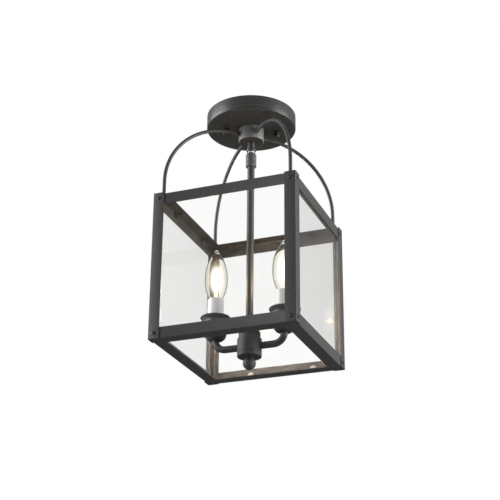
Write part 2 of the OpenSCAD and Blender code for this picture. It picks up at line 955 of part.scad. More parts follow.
// Pinched glass mount, two lead wires and the filament between them
module filament(side) {
  mount_r = 2.6;
  mount_top = base_top + 14;
  wire_d = 0.7;
  wire_x = 3.2;
  wire_z = mount_top - 1.2;
  coil_d = 1;
  foot_z = base_top - base_h + base_cone_in;
  color("#d8b878")
    translate([side * light_spread, 0, 0])
      union() {
        translate([0, 0, foot_z])
          cylinder(r = mount_r, h = mount_top - foot_z);
        translate([0, 0, wire_z])
          rotate([0, 90, 0])
            translate([0, 0, -wire_x - wire_d / 2])
              cylinder(d = wire_d, h = 2 * wire_x + wire_d, $fn = 16);
        for (x = [-wire_x, wire_x])
          translate([x, 0, wire_z])
            cylinder(d = wire_d, h = filament_z - wire_z + wire_d / 2, $fn = 16);
        translate([-wire_x, 0, filament_z])
          rotate([0, 90, 0])
            cylinder(d = coil_d, h = 2 * wire_x, $fn = 16);
      }
}

module bulb_contact(side) {
  color("#b9bcc0")
    translate([side * light_spread, 0, contact_z])
      cylinder(d = contact_d, h = contact_h);
}

box_strap();
canopy_strap();
canopy_screws();
canopy_nuts();
canopy();
nipple();
nipple_nuts();
hub();
hub_bead();
arm(225);  // arm_front_left
arm(315);  // arm_front_right
arm(45);  // arm_back_right
arm(135);  // arm_back_left
arm_ferrules();
arm_nuts();
post(front_turn);  // post_front_left
post(right_turn);  // post_front_right
post(back_turn);  // post_back_right
post(left_turn);  // post_back_left
top_rail(front_turn);  // top_rail_front
top_rail(right_turn);  // top_rail_right
top_rail(back_turn);  // top_rail_back
top_rail(left_turn);  // top_rail_left
bottom_rail(front_turn);  // bottom_rail_front
bottom_rail(right_turn);  // bottom_rail_right
bottom_rail(back_turn);  // bottom_rail_back
bottom_rail(left_turn);  // bottom_rail_left
glass(front_turn);  // glass_front
glass(right_turn);  // glass_right
glass(back_turn);  // glass_back
glass(left_turn);  // glass_left
glass_clips();
corner_screws();
collar();
stem();
cluster_cap();
cluster_body();
cluster_base();
cluster_nipple();
finial();
light_arm(180);  // light_arm_left
light_arm(0);  // light_arm_right
candle_cup(-1);  // candle_cup_left
candle_cup(1);  // candle_cup_right
drip_dish(-1);  // drip_dish_left
drip_dish(1);  // drip_dish_right
socket(-1);  // socket_left
socket(1);  // socket_right
socket_contacts(-1);  // socket_contacts_left
socket_contacts(1);  // socket_contacts_right
sleeve(-1);  // sleeve_left
sleeve(1);  // sleeve_right
bulb_glass(-1);  // bulb_glass_left
bulb_glass(1);  // bulb_glass_right
bulb_base(-1);  // bulb_base_left
bulb_base(1);  // bulb_base_right
filament(-1);  // filament_left
filament(1);  // filament_right
bulb_contact(-1);  // bulb_contact_left
bulb_contact(1);  // bulb_contact_right
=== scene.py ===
"""Looks of a porch ceiling lantern: an angle-bar cage with clear panes on four arched rods under a
round canopy, with a stem and a cluster of two lit candle bulbs inside. Metres, +Z up, the ceiling at 0."""

import math
from collections import namedtuple

import bmesh
import bpy
import numpy as np
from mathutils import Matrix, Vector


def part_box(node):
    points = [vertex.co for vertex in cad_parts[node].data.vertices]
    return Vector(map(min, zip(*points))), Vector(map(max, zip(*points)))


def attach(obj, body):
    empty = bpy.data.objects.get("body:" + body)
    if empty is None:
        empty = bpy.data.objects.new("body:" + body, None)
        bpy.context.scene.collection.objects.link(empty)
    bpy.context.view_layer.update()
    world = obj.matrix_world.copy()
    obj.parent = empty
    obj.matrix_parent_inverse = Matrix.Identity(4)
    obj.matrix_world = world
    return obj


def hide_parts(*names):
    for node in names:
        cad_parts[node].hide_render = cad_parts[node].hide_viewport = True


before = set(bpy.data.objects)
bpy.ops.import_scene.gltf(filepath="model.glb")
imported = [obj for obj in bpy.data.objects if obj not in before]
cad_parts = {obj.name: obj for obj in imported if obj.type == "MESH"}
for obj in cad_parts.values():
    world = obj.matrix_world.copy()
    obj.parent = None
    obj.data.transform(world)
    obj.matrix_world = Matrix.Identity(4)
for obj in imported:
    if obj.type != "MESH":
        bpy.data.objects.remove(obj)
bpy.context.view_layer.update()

# ---------------------------------------------------------------- places taken from the frame


def low(node):
    """Lowest corner of a node's box."""
    return np.array(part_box(node)[0])


def high(node):
    """Highest corner of a node's box."""
    return np.array(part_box(node)[1])


def half_width(node):
    """Radius of an upright round node."""
    return (high(node)[0] - low(node)[0]) / 2


def upright(node):
    """Radius, bottom and top of an upright round node."""
    return half_width(node), low(node)[2], high(node)[2]


SLIP = 0.00005  # clearance of a bore round the stem
NIPPLE_BORE = 0.00505  # radius of the bores that the nipple passes through
SIDES = {"left": -1, "right": 1}
FACES = ("front", "right", "back", "left")
CORNERS = ("front_left", "front_right", "back_right", "back_left")
AXES = np.eye(3)

half = -low("post_front_left")[0]
post_leg = high("post_front_left")[0] + half
post_top = high("post_front_left")[2]
post_bottom = low("post_front_left")[2]
rail_out = high("top_rail_front")[0]
rail_top = high("top_rail_front")[2]
rail_bottom = low("bottom_rail_front")[2]
rail_leg = rail_top - low("top_rail_front")[2]
rail_shelf = high("top_rail_front")[1] + rail_out
bar_sheet = half - rail_out
light_x = (low("sleeve_right")[0] + high("sleeve_right")[0]) / 2
stem_bore = half_width("stem") + SLIP

# ---------------------------------------------------------------- surfaces

Patch = namedtuple("Patch", "points faces uv edge")


def grid(points, uv, edge, wrap=(False, False), ends=False):
    """Patch of a grid of points, with a quad between each four neighbours.

    wrap joins the last row or column to the first, and ends closes the first and last row with a flat
    face each."""
    rows, columns = points.shape[:2]
    index = np.arange(rows * columns).reshape(rows, columns)
    faces = [index[0, ::-1].tolist(), index[-1].tolist()] if ends else []
    if wrap[0]:
        index = np.vstack([index, index[:1]])
    if wrap[1]:
        index = np.hstack([index, index[:, :1]])
    quads = np.stack([index[:-1, :-1], index[:-1, 1:], index[1:, 1:], index[1:, :-1]], -1)
    faces = quads.reshape(-1, 4).tolist() + faces
    uv = np.broadcast_to(uv, (rows, columns, 2))
    edge = np.broadcast_to(edge, (rows, columns))
    return Patch(points.reshape(-1, 3), faces, uv.reshape(-1, 2), edge.reshape(-1))


def unit(vectors):
    """Vectors brought to a length of 1."""
    return vectors / np.linalg.norm(vectors, axis=-1, keepdims=True)


def run_length(line):
    """Distance along a line of points, from its first point."""
    steps = np.linalg.norm(np.diff(line, axis=0), axis=1)
    return np.concatenate([[0.0], np.cumsum(steps)])


def rounded(corners, radii, steps=6):
    """Closed outline with each corner rounded to its radius, and a mask that is 1 on convex roundings.

    Each rounding is a true arc: the rational curve (a(1-t)^2 + 2wct(1-t) + bt^2) over its own weights,
    from a to b with the corner c between them and w the sine of half the corner's angle."""
    c = np.asarray(corners, float)
    radius = np.broadcast_to(np.asarray(radii, float), len(c))
    before, after = np.roll(c, 1, 0) - c, np.roll(c, -1, 0) - c
    length_before, length_after = np.linalg.norm(before, axis=1), np.linalg.norm(after, axis=1)
    before, after = before / length_before[:, None], after / length_after[:, None]
    half_angle = np.arccos(np.clip((before * after).sum(1), -1, 1)) / 2
    reach = np.minimum(radius / np.tan(half_angle), 0.49 * np.minimum(length_before, length_after))
    a, b = c + before * reach[:, None], c + after * reach[:, None]
    t = np.linspace(0, 1, steps)[None, :, None]
    w = np.sin(half_angle)[:, None, None]
    top = a[:, None] * (1 - t) ** 2 + 2 * w * c[:, None] * t * (1 - t) + b[:, None] * t ** 2
    points = top / ((1 - t) ** 2 + 2 * w * t * (1 - t) + t ** 2)
    turn = after[:, 0] * before[:, 1] - after[:, 1] * before[:, 0]
    around = c[:, 0] * np.roll(c[:, 1], -1) - c[:, 1] * np.roll(c[:, 0], -1)
    convex = (turn * np.sign(around.sum()) > 0) & (radius > 0)
    edge = np.sin(np.pi * t[..., 0]) * convex[:, None]
    return points.reshape(-1, 2), edge.reshape(-1)


def turned(outline, edge=0.0, x=0.0, y=0.0, steps=96):
    """Turned piece: each point (r, z) of a closed outline goes round the upright axis at (x, y)."""
    outline = np.asarray(outline, float)
    angle = np.linspace(0, 2 * np.pi, steps, endpoint=False)
    r, z = outline[:, :1], outline[:, 1:]
    points = np.stack([x + r * np.cos(angle), y + r * np.sin(angle), z + 0 * angle], -1)
    along = run_length(outline)[:, None, None]
    uv = np.concatenate([0 * along, along], -1)
    edge = np.broadcast_to(edge, len(outline))[:, None]
    return grid(points, uv, edge, wrap=(True, True))


def tube(path, radius, side, sides=28):
    """Rod: a circle of the radius is carried along the path, at cos(a) times side, a unit vector that
    is square to the whole path, and sin(a) times the path's other normal."""
    heading = unit(np.gradient(path, axis=0))
    side = np.asarray(side, float)
    other = np.cross(side, heading)
    angle = np.linspace(0, 2 * np.pi, sides, endpoint=False)[:, None]
    radius = np.broadcast_to(radius, len(path))[:, None, None]
    points = path[:, None] + radius * (np.cos(angle) * side + np.sin(angle) * other[:, None])
    along = run_length(path)[:, None]
    across = radius[..., 0] * np.cos(angle.T)
    uv = np.stack([along + 0 * across, across], -1)
    return grid(points, uv, 0.0, wrap=(False, True), ends=True)


def prism(outline, edge, start, end, rounding, inward=0.0, steps=4):
    """Prism of a closed outline along the third axis, with its end edges rounded.

    A ring at angle a of the rounding lies rounding(1 - sin a) short of the end and is drawn in by
    rounding(1 - cos a). A mitre shortens each end by inward times the outline's first coordinate."""
    ahead = np.roll(outline, -1, 0) - np.roll(outline, 1, 0)
    ahead /= np.maximum(np.linalg.norm(ahead, axis=1), 1e-12)[:, None]
    area = outline[:, 0] @ np.roll(outline[:, 1], -1) - outline[:, 1] @ np.roll(outline[:, 0], -1)
    into = np.stack([-ahead[:, 1], ahead[:, 0]], 1) * np.sign(area)
    a = np.linspace(np.pi / 2, 0, steps)
    short, drawn = rounding * (1 - np.sin(a)), rounding * (1 - np.cos(a))
    mitre = inward * (outline[:, 0] - outline[:, 0].min())[None]
    first = start + short[:, None] + mitre
    last = end - short[:, None] - mitre
    along = np.concatenate([first, last[::-1]])
    drawn = np.concatenate([drawn, drawn[::-1]])
    flat = outline[None] + into[None] * (rounding - drawn)[:, None, None]
    points = np.concatenate([flat, along[..., None]], -1)
    worn = np.maximum(edge[None], (drawn[:, None] < 0.9 * rounding) * 1.0)
    uv = np.stack([along, np.broadcast_to(run_length(outline), along.shape)], -1)
    return grid(points, uv, worn, wrap=(False, True), ends=True)


def mapped(patch, origin, u, v, w):
    """Patch with its three coordinates laid along the vectors u, v and w from the origin."""
    points = np.asarray(origin, float) + patch.points @ np.array([u, v, w], float)
    return patch._replace(points=points)


def aimed(patch, origin, heading):
    """Patch with its upright axis turned to a heading, and its zero at the origin."""
    heading = unit(np.asarray(heading, float))
    helper = AXES[np.argmin(np.abs(heading))]
    side = unit(np.cross(helper, heading))
    return mapped(patch, origin, side, np.cross(heading, side), heading)


def quarter_turned(patch, quarters):
    """Patch turned about the upright axis by a number of quarter turns."""
    a = quarters * np.pi / 2
    return mapped(patch, (0, 0, 0), (math.cos(a), math.sin(a), 0), (-math.sin(a), math.cos(a), 0), AXES[2])


def piece(name, patches, material, body, nodes, smooth_below=38.0):
    """Object of one or more patches, which rides on a body and stands for CAD nodes."""
    starts = np.cumsum([0] + [len(p.points) for p in patches])
    faces = [[i + start for i in face] for p, start in zip(patches, starts) for face in p.faces]
    mesh = bpy.data.meshes.new(name)
    mesh.from_pydata(np.concatenate([p.points for p in patches]), [], faces)
    corners = np.empty(len(mesh.loops), np.int32)
    mesh.loops.foreach_get("vertex_index", corners)
    layer = mesh.uv_layers.new(name="Brushing")
    layer.data.foreach_set("uv", np.concatenate([p.uv for p in patches])[corners].astype(np.float32).ravel())
    mask = mesh.attributes.new("edge", "FLOAT", "POINT")
    mask.data.foreach_set("value", np.concatenate([p.edge for p in patches]).astype(np.float32))
    close_up(mesh)
    mesh.shade_smooth()
    mesh.set_sharp_from_angle(angle=math.radians(smooth_below))
    mesh.materials.append(material)
    obj = bpy.data.objects.new(name, mesh)
    bpy.context.scene.collection.objects.link(obj)
    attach(obj, body)
    if nodes:
        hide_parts(*nodes)
    return obj


def close_up(mesh):
    """Closes seams and poles: merges doubles, drops edges with no face, and points faces outwards."""
    bm = bmesh.new()
    bm.from_mesh(mesh)
    bmesh.ops.remove_doubles(bm, verts=bm.verts, dist=1e-7)
    bmesh.ops.delete(bm, geom=[e for e in bm.edges if not e.link_faces], context="EDGES")
    bmesh.ops.recalc_face_normals(bm, faces=bm.faces)
    bm.to_mesh(mesh)
    bm.free()


# ---------------------------------------------------------------- node trees


class Tree:
    """A node tree under construction."""

    def __init__(self, tree):
        self.tree = tree

    def feed(self, node, inputs):
        """Links each input that is given as a socket, and sets any other."""
        for key, value in inputs.items():
            if isinstance(value, bpy.types.NodeSocket):
                self.tree.links.new(value, node.inputs[key])
            else:
                node.inputs[key].default_value = value
        return node

    def add(self, kind, inputs=None, **settings):
        node = self.tree.nodes.new(kind)
        for key, value in settings.items():
            setattr(node, key, value)
        return self.feed(node, inputs or {})

    def math(self, operation, a, b=0.0, clamp=False):
        return self.add("ShaderNodeMath", {0: a, 1: b}, operation=operation, use_clamp=clamp).outputs[0]

    def remap(self, value, start, end, to_start=0.0, to_end=1.0):
        inputs = {"Value": value, "From Min": start, "From Max": end, "To Min": to_start, "To Max": to_end}
        return self.add("ShaderNodeMapRange", inputs).outputs["Result"]

    def mix(self, factor, a, b):
        inputs = {"Factor": factor, 6: a, 7: b}
        return self.add("ShaderNodeMix", inputs, data_type="RGBA").outputs[2]

    def scaled(self, vector, scale):
        inputs = {0: vector, 1: scale}
        return self.add("ShaderNodeVectorMath", inputs, operation="MULTIPLY").outputs[0]

    def noise(self, vector, scale, detail=3.0, roughness=0.5):
        inputs = {"Vector": vector, "Scale": scale, "Detail": detail, "Roughness": roughness}
        return self.add("ShaderNodeTexNoise", inputs).outputs["Fac"]

    def bump(self, height, strength, depth):
        inputs = {"Height": height, "Strength": strength, "Distance": depth}
        return self.add("ShaderNodeBump", inputs).outputs["Normal"]

    def effect(self, group, **inputs):
        return self.add("ShaderNodeGroup", inputs, node_tree=group).outputs


def effect_group(name, inputs, outputs):
    """Empty shader group with named sockets. Returns its tree, its inputs and its output node. An input
    without a default is a vector."""
    group = bpy.data.node_groups.new(name, "ShaderNodeTree")
    for socket, default in inputs.items():
        kind = "NodeSocketVector" if default is None else "NodeSocketFloat"
        made = group.interface.new_socket(name=socket, in_out="INPUT", socket_type=kind)
        if default is not None:
            made.default_value = default
    for socket in outputs:
        group.interface.new_socket(name=socket, in_out="OUTPUT", socket_type="NodeSocketFloat")
    tree = Tree(group)
    return tree, tree.add("NodeGroupInput").outputs, tree.add("NodeGroupOutput")


def powder_grain_group():
    """Fine orange peel of powder coat, and its slight change of tone."""
    coarser, fine_share, coarse_share = 0.12, 0.6, 0.4
    t, given, out = effect_group("powder_grain", {"Vector": None, "Scale": 900.0}, ["Height", "Tone"])
    fine = t.noise(given["Vector"], given["Scale"], 4.0, 0.6)
    coarse = t.noise(given["Vector"], t.math("MULTIPLY", given["Scale"], coarser), 3.0)
    height = t.math("ADD", t.math("MULTIPLY", fine, fine_share), t.math("MULTIPLY", coarse, coarse_share))
    t.feed(out, {"Height": height, "Tone": coarse})
    return t.tree


def brush_streaks_group():
    """Streaks along a surface's first UV direction, fainter in some patches."""
    patch_scale, faintest = 45.0, 0.45
    inputs = {"UV": None, "Vector": None, "Along": 12.0, "Across": 700.0}
    t, given, out = effect_group("brush_streaks", inputs, ["Mask"])
    stretch = t.add("ShaderNodeCombineXYZ", {0: given["Along"], 1: given["Across"], 2: 1.0}).outputs[0]
    streak = t.noise(t.scaled(given["UV"], stretch), 1.0, 4.0, 0.65)
    weight = t.remap(t.noise(given["Vector"], patch_scale, 2.0), 0.35, 0.65, faintest, 1.0)
    swing = t.math("MULTIPLY", t.math("SUBTRACT", streak, 0.5), weight)
    t.feed(out, {"Mask": t.math("ADD", swing, 0.5, clamp=True)})
    return t.tree


def edge_wear_group():
    """Rubbed places on convex edges, broken up by noise."""
    chip_scale = 160.0
    t, given, out = effect_group("edge_wear", {"Edge": 0.0, "Vector": None, "Amount": 0.5}, ["Mask"])
    broken = t.remap(t.noise(given["Vector"], chip_scale, 4.0, 0.7), 0.42, 0.62)
    worn = t.math("MULTIPLY", given["Edge"], broken)
    t.feed(out, {"Mask": t.math("MULTIPLY", worn, given["Amount"], clamp=True)})
    return t.tree


def smears_group():
    """Faint cloudy smears of handling and dried rain, as on glass."""
    finer = 9.0
    t, given, out = effect_group("smears", {"Vector": None, "Scale": 14.0}, ["Mask"])
    wide = t.noise(given["Vector"], given["Scale"], 2.0)
    fine = t.noise(given["Vector"], t.math("MULTIPLY", given["Scale"], finer), 4.0, 0.7)
    t.feed(out, {"Mask": t.math("MULTIPLY", t.remap(wide, 0.45, 0.75), fine)})
    return t.tree


def inner_side_group():
    """1 where the larger of |x| and |y| is below the skin and z is between the floor and the ceiling."""
    soft_edge = 0.0004
    inputs = {"Vector": None, "Skin": 0.1, "Floor": -1.0, "Ceiling": 0.0}
    t, given, out = effect_group("inner_side", inputs, ["Mask"])
    place = t.add("ShaderNodeSeparateXYZ", {0: given["Vector"]}).outputs
    x, y = t.math("ABSOLUTE", place["X"]), t.math("ABSOLUTE", place["Y"])
    inside = t.math("SUBTRACT", given["Skin"], t.math("MAXIMUM", x, y))
    above = t.math("GREATER_THAN", place["Z"], given["Floor"])
    between = t.math("MULTIPLY", above, t.math("LESS_THAN", place["Z"], given["Ceiling"]))
    t.feed(out, {"Mask": t.math("MULTIPLY", t.remap(inside, 0.0, soft_edge), between)})
    return t.tree


GRAIN = powder_grain_group()
STREAKS = brush_streaks_group()
WEAR = edge_wear_group()
SMEARS = smears_group()
INNER = inner_side_group()

# ---------------------------------------------------------------- materials


def new_material(name):
    """Material with a Principled shader. Returns it, its tree, its shader and its places in space."""
    material = bpy.data.materials.new(name)
    material.use_nodes = True
    t = Tree(material.node_tree)
    shader = material.node_tree.nodes["Principled BSDF"]
    return material, t, shader, t.add("ShaderNodeTexCoord").outputs["Object"]


def painted(name, dark, pale, worn, roughness=0.42, wear=0.35, across=500.0, brushed=0.35, spread=0.25,
            cloud=0.35, inner=None, skin=0.0):
    """Satin powder coat over steel: two tones in brushed streaks, rubbed edges and a fine grain. The
    streaks reach their full tones at the spread to either side of their middle, and cloud is the share of
    the coat's own change of tone.

    inner gives the two tones on the side that faces the cage's inside, nearer to the axis than the skin,
    where the streaks are short and plain to see: the streaks are the coat's own, and the tones' level and
    tint are painted light and shade of the bulbs and the room on those inner faces."""
    streak_along, grain_scale, grain_depth, gloss_swing, rubbed_gloss = 14.0, 900.0, 0.00004, 0.04, -0.06
    inner_along, inner_across = 45.0, 420.0
    material, t, shader, place = new_material(name)
    grain = t.effect(GRAIN, Vector=place, Scale=grain_scale)
    uv = t.add("ShaderNodeUVMap", uv_map="Brushing").outputs["UV"]
    streak = t.effect(STREAKS, UV=uv, Vector=place, Along=streak_along, Across=across)["Mask"]
    edge = t.add("ShaderNodeAttribute", attribute_name="edge").outputs["Fac"]
    rubbed = t.effect(WEAR, Edge=edge, Vector=place, Amount=wear)["Mask"]
    tone = t.math("ADD", t.math("MULTIPLY", streak, 1 - cloud), t.math("MULTIPLY", grain["Tone"], cloud))
    colour = t.mix(t.remap(tone, 0.5 - spread, 0.5 + spread), dark, pale)
    # the inside faces' tones are painted light and shade over the coat's own streaks
    if inner:
        inside_streak = t.effect(STREAKS, UV=uv, Vector=place, Along=inner_along, Across=inner_across)["Mask"]
        inside = t.effect(INNER, Vector=place, Skin=skin, Floor=rail_bottom + bar_sheet / 2,
                          Ceiling=rail_top - bar_sheet / 2)["Mask"]
        colour = t.mix(inside, colour, t.mix(t.remap(inside_streak, 0.44, 0.66), *inner))
    gloss = t.math("ADD", t.remap(streak, 0.25, 0.75, roughness + gloss_swing, roughness - gloss_swing),
                   t.math("MULTIPLY", rubbed, rubbed_gloss))
    height = t.math("ADD", grain["Height"], t.math("MULTIPLY", streak, brushed))
    t.feed(shader, {"Base Color": t.mix(rubbed, colour, worn), "Roughness": gloss,
                    "Normal": t.bump(height, 0.5, grain_depth)})
    return material


def plated(name, dark, pale, roughness, metallic=1.0):
    """Plated metal: cloudy tone, fine scratches in the roughness and a faint grain."""
    grain_scale, grain_depth, smear_scale, smear_gloss = 420.0, 0.00003, 60.0, 0.35
    material, t, shader, place = new_material(name)
    grain = t.effect(GRAIN, Vector=place, Scale=grain_scale)
    smear = t.effect(SMEARS, Vector=place, Scale=smear_scale)["Mask"]
    t.feed(shader, {"Base Color": t.mix(t.remap(grain["Tone"], 0.3, 0.7), dark, pale),
                    "Roughness": t.math("ADD", t.math("MULTIPLY", smear, smear_gloss), roughness),
                    "Normal": t.bump(grain["Height"], 0.4, grain_depth),
                    "Metallic": metallic})
    return material


def card(name, dark, pale, roughness):
    """White card or moulded plastic: faint upright streaks, a fine grain and a soft sheen."""
    streak_scale, grain_scale, grain_depth, gloss_swing = (600.0, 600.0, 18.0), 1400.0, 0.00003, 0.05
    material, t, shader, place = new_material(name)
    streak = t.noise(t.scaled(place, streak_scale), 1.0, 3.0)
    grain = t.effect(GRAIN, Vector=place, Scale=grain_scale)
    gloss = t.remap(grain["Tone"], 0.3, 0.7, roughness - gloss_swing, roughness + gloss_swing)
    t.feed(shader, {"Base Color": t.mix(t.remap(streak, 0.35, 0.65), dark, pale), "Roughness": gloss,
                    "Normal": t.bump(grain["Height"], 0.3, grain_depth)})
    return material


def smeared(t, place, tint, scale):
    """Mask of a glass's smears, and its tint with the smears a little darker."""
    smear = t.effect(SMEARS, Vector=place, Scale=scale)["Mask"]
    soiled = tuple(0.97 * c for c in tint[:3]) + (1.0,)
    return smear, t.mix(smear, tint, soiled)


def clear_glass(name, tint, smear_scale, smear_gloss, ior=1.5):
    """Clear glass with faint smears in its roughness and its tint."""
    material, t, shader, place = new_material(name)
    smear, colour = smeared(t, place, tint, smear_scale)
    t.feed(shader, {"Base Color": colour, "Roughness": t.math("MULTIPLY", smear, smear_gloss),
                    "Transmission Weight": 1.0, "IOR": ior})
    return material


def lit_glass(name, tint, rim, gold, centre, reach, strength):
    """Clear blown glass round a lit filament: a painted dark outline of painted shade and reflection, with a
    painted white glow in front of the filament and painted golden light round the glow, both fading with
    the height from its centre."""
    smear_scale, smear_gloss, ior = 40.0, 0.03, 1.32
    glow_end, golden_light_end, outline_shade_power = 0.2, 0.7, 7.0
    glow_edge, glow_core = (1.0, 0.78, 0.42, 1), (1.0, 0.97, 0.9, 1)
    material, t, shader, place = new_material(name)
    smear, glass = smeared(t, place, tint, smear_scale)
    facing = t.add("ShaderNodeLayerWeight", {"Blend": 0.5}).outputs["Facing"]
    z = t.add("ShaderNodeSeparateXYZ", {0: place}).outputs["Z"]
    away = t.math("DIVIDE", t.math("SUBTRACT", z, centre), reach)
    near = t.math("EXPONENT", t.math("MULTIPLY", t.math("MULTIPLY", away, away), -1.0))
    painted_golden_light = t.math("MULTIPLY", near, t.remap(facing, glow_end, golden_light_end, 1.0, 0.0))
    glow = t.math("MULTIPLY", near, t.remap(facing, 0.0, glow_end, 1.0, 0.0))
    warm = t.mix(t.remap(glow, 0.05, 0.4), glow_edge, glow_core)
    # painted shade and reflection at the outline, painted golden light in the colour, painted glow in the
    # emission
    t.feed(shader, {"Base Color": t.mix(t.math("POWER", facing, outline_shade_power), t.mix(painted_golden_light, glass, gold), rim),
                    "Roughness": t.math("MULTIPLY", smear, smear_gloss),
                    "Emission Color": t.mix(t.math("MULTIPLY", glow, glow), (0, 0, 0, 1), warm),
                    "Emission Strength": strength, "Transmission Weight": 1.0, "IOR": ior})
    return material


def glowing(name, colour, strength):
    """White-hot wire, cooler in places."""
    cooling = (0.9, 0.75, 0.5)
    material, t, shader, place = new_material(name)
    hot = t.remap(t.noise(place, 900.0, 2.0), 0.35, 0.65)
    cooler = tuple(c * k for c, k in zip(colour[:3], cooling)) + (1.0,)
    t.feed(shader, {"Base Color": (0.2, 0.18, 0.16, 1.0), "Emission Color": t.mix(hot, cooler, colour),
                    "Emission Strength": strength})
    return material


COAT = {"dark": (0.036, 0.0358, 0.0355, 1), "pale": (0.046, 0.0457, 0.045, 1),
        "worn": (0.070, 0.067, 0.063, 1)}
CANOPY_COAT = {"dark": (0.020, 0.020, 0.020, 1), "pale": (0.062, 0.0615, 0.0605, 1),
               "worn": (0.070, 0.067, 0.063, 1)}
# The hub's coat is painted paler than the bronze, as painted light on its side.
HUB_PAINTED_LIGHT_COAT = {"dark": (0.135, 0.134, 0.132, 1), "pale": (0.180, 0.178, 0.174, 1),
            "worn": (0.20, 0.197, 0.19, 1)}
# The collar's coat is painted paler than the bronze, as painted light.
COLLAR_PAINTED_LIGHT_COAT = {"dark": (0.070, 0.0695, 0.068, 1), "pale": (0.096, 0.095, 0.093, 1),
               "worn": (0.11, 0.108, 0.104, 1)}
# Tones painted on the cage's inside faces as light and shade: dark brown on the top rails for the bulbs'
# warm light and shade, paler grey on the posts for the room's light on them, cooler grey on the bottom rails
# for the room's light that reaches them.
INSIDE_RAIL_LIGHT_AND_SHADE = ((0.007, 0.0067, 0.0063, 1), (0.075, 0.069, 0.060, 1))
INSIDE_POST_LIGHT_AND_SHADE = ((0.055, 0.0555, 0.057, 1), (0.205, 0.207, 0.213, 1))
INSIDE_LOW_RAIL_LIGHT_AND_SHADE = ((0.066, 0.067, 0.070, 1), (0.150, 0.153, 0.160, 1))
DARK_COAT = {"dark": (0.018, 0.018, 0.0175, 1), "pale": (0.028, 0.0275, 0.0265, 1),
             "worn": (0.055, 0.052, 0.048, 1)}
post_skin, rail_skin = half - bar_sheet / 2, rail_out - bar_sheet / 2
BRONZE = painted("bronze_rods", **COAT)
# posts and rails carry the painted inside light and shade
BRONZE_POSTS = painted("bronze_posts", **COAT, inner=INSIDE_POST_LIGHT_AND_SHADE, skin=post_skin)
BRONZE_RAILS = painted("bronze_rails", **COAT, inner=INSIDE_RAIL_LIGHT_AND_SHADE, skin=rail_skin)
BRONZE_LOW_RAILS = painted("bronze_low_rails", **COAT, inner=INSIDE_LOW_RAIL_LIGHT_AND_SHADE, skin=rail_skin)
BRONZE_CANOPY = painted("bronze_canopy", **CANOPY_COAT, roughness=0.32, wear=0.3, across=360.0,
                        brushed=20.0, spread=0.1, cloud=0.0)
BRONZE_HUB_PAINTED_LIGHT = painted("bronze_hub_painted_light", **HUB_PAINTED_LIGHT_COAT, roughness=0.40, wear=0.3, across=900.0, brushed=1.0)
BRONZE_COLLAR_PAINTED_LIGHT = painted("bronze_collar_painted_light", **COLLAR_PAINTED_LIGHT_COAT, roughness=0.40, wear=0.3, across=900.0,
                        brushed=1.0)
BRONZE_TURNED = painted("bronze_turned", **COAT, roughness=0.62, wear=0.3, across=900.0, brushed=0.6)
BRONZE_DARK = painted("bronze_dark", **DARK_COAT, roughness=0.36, wear=0.4)
ZINC = plated("zinc_plate", (0.42, 0.43, 0.45, 1), (0.62, 0.63, 0.64, 1), 0.32)
NICKEL = plated("bright_nickel", (0.80, 0.79, 0.76, 1), (0.90, 0.89, 0.87, 1), 0.28, metallic=0.5)
# One spring steel in lit and shaded copies: the lower clips' bright tone is painted light and glint, the
# upper clips' dark tone is painted shade.
SPRING = plated("spring_steel", (0.62, 0.60, 0.52, 1), (0.84, 0.82, 0.74, 1), 0.24, metallic=0.3)
SHADED_SPRING = plated("shaded_spring_steel", (0.05, 0.046, 0.04, 1), (0.14, 0.13, 0.11, 1), 0.4)
BRASS = plated("lamp_brass", (0.52, 0.36, 0.13, 1), (0.74, 0.55, 0.24, 1), 0.24)
CARD = card("sleeve_card", (0.51, 0.52, 0.54, 1), (0.575, 0.585, 0.60, 1), 0.5)
MOULDED = card("holder_moulding", (0.62, 0.60, 0.56, 1), (0.72, 0.70, 0.66, 1), 0.35)
PANE = clear_glass("pane_glass", (0.998, 0.997, 0.990, 1), smear_scale=9.0, smear_gloss=0.05, ior=1.36)
# the bulb glass carries a painted glow, painted golden light and a painted dark outline
BULB = lit_glass("bulb_glass", tint=(0.985, 0.985, 0.98, 1), rim=(0.70, 0.67, 0.58, 1),
                 gold=(1.0, 0.97, 0.88, 1), centre=high("filament_left")[2] + 0.004, reach=0.024,
                 strength=1.6)
MOUNT_GLASS = clear_glass("mount_glass", (0.98, 0.98, 0.97, 1), smear_scale=90.0, smear_gloss=0.1)
HOT = glowing("hot_wire", (1.0, 0.62, 0.26, 1), strength=60.0)

# ---------------------------------------------------------------- canopy, hub and what hangs on it


def make_canopy():
    """Pan turned from its profile: a flat floor, a round edge and an upright wall, open at the top."""
    r, bottom, top = upright("canopy")
    wall, edge, rim = 0.0012, 0.0018, 0.0004
    corners = [(0, bottom), (r, bottom), (r, top), (r - wall, top), (r - wall, bottom + wall),
               (0, bottom + wall)]
    outline, worn = rounded(corners, [0, edge, rim, rim, edge - wall, 0])
    piece("canopy_shell", [turned(outline, worn, steps=160)], BRONZE_CANOPY, "root", ["canopy"])


def make_hub():
    """Bored round block with softened edges, turned from its profile. Its side has the paler coat of painted
    light, and its underside, which is each face whose normal points down, has the canopy's darker coat as
    painted shade."""
    r, bottom, top = upright("hub")
    lower_edge, upper_edge, downward = 0.0012, 0.0004, -0.9
    corners = [(NIPPLE_BORE, bottom), (r, bottom), (r, top), (NIPPLE_BORE, top)]
    outline, worn = rounded(corners, [0, lower_edge, upper_edge, 0])
    hub = piece("hub_boss", [turned(outline, worn)], BRONZE_HUB_PAINTED_LIGHT, "root", ["hub"])
    # painted shade: the downward faces take the canopy's darker coat
    hub.data.materials.append(BRONZE_CANOPY)
    facing = np.empty(3 * len(hub.data.polygons), np.float32)
    hub.data.polygons.foreach_get("normal", facing)
    hub.data.polygons.foreach_set("material_index", (facing[2::3] < downward).astype(np.int32))


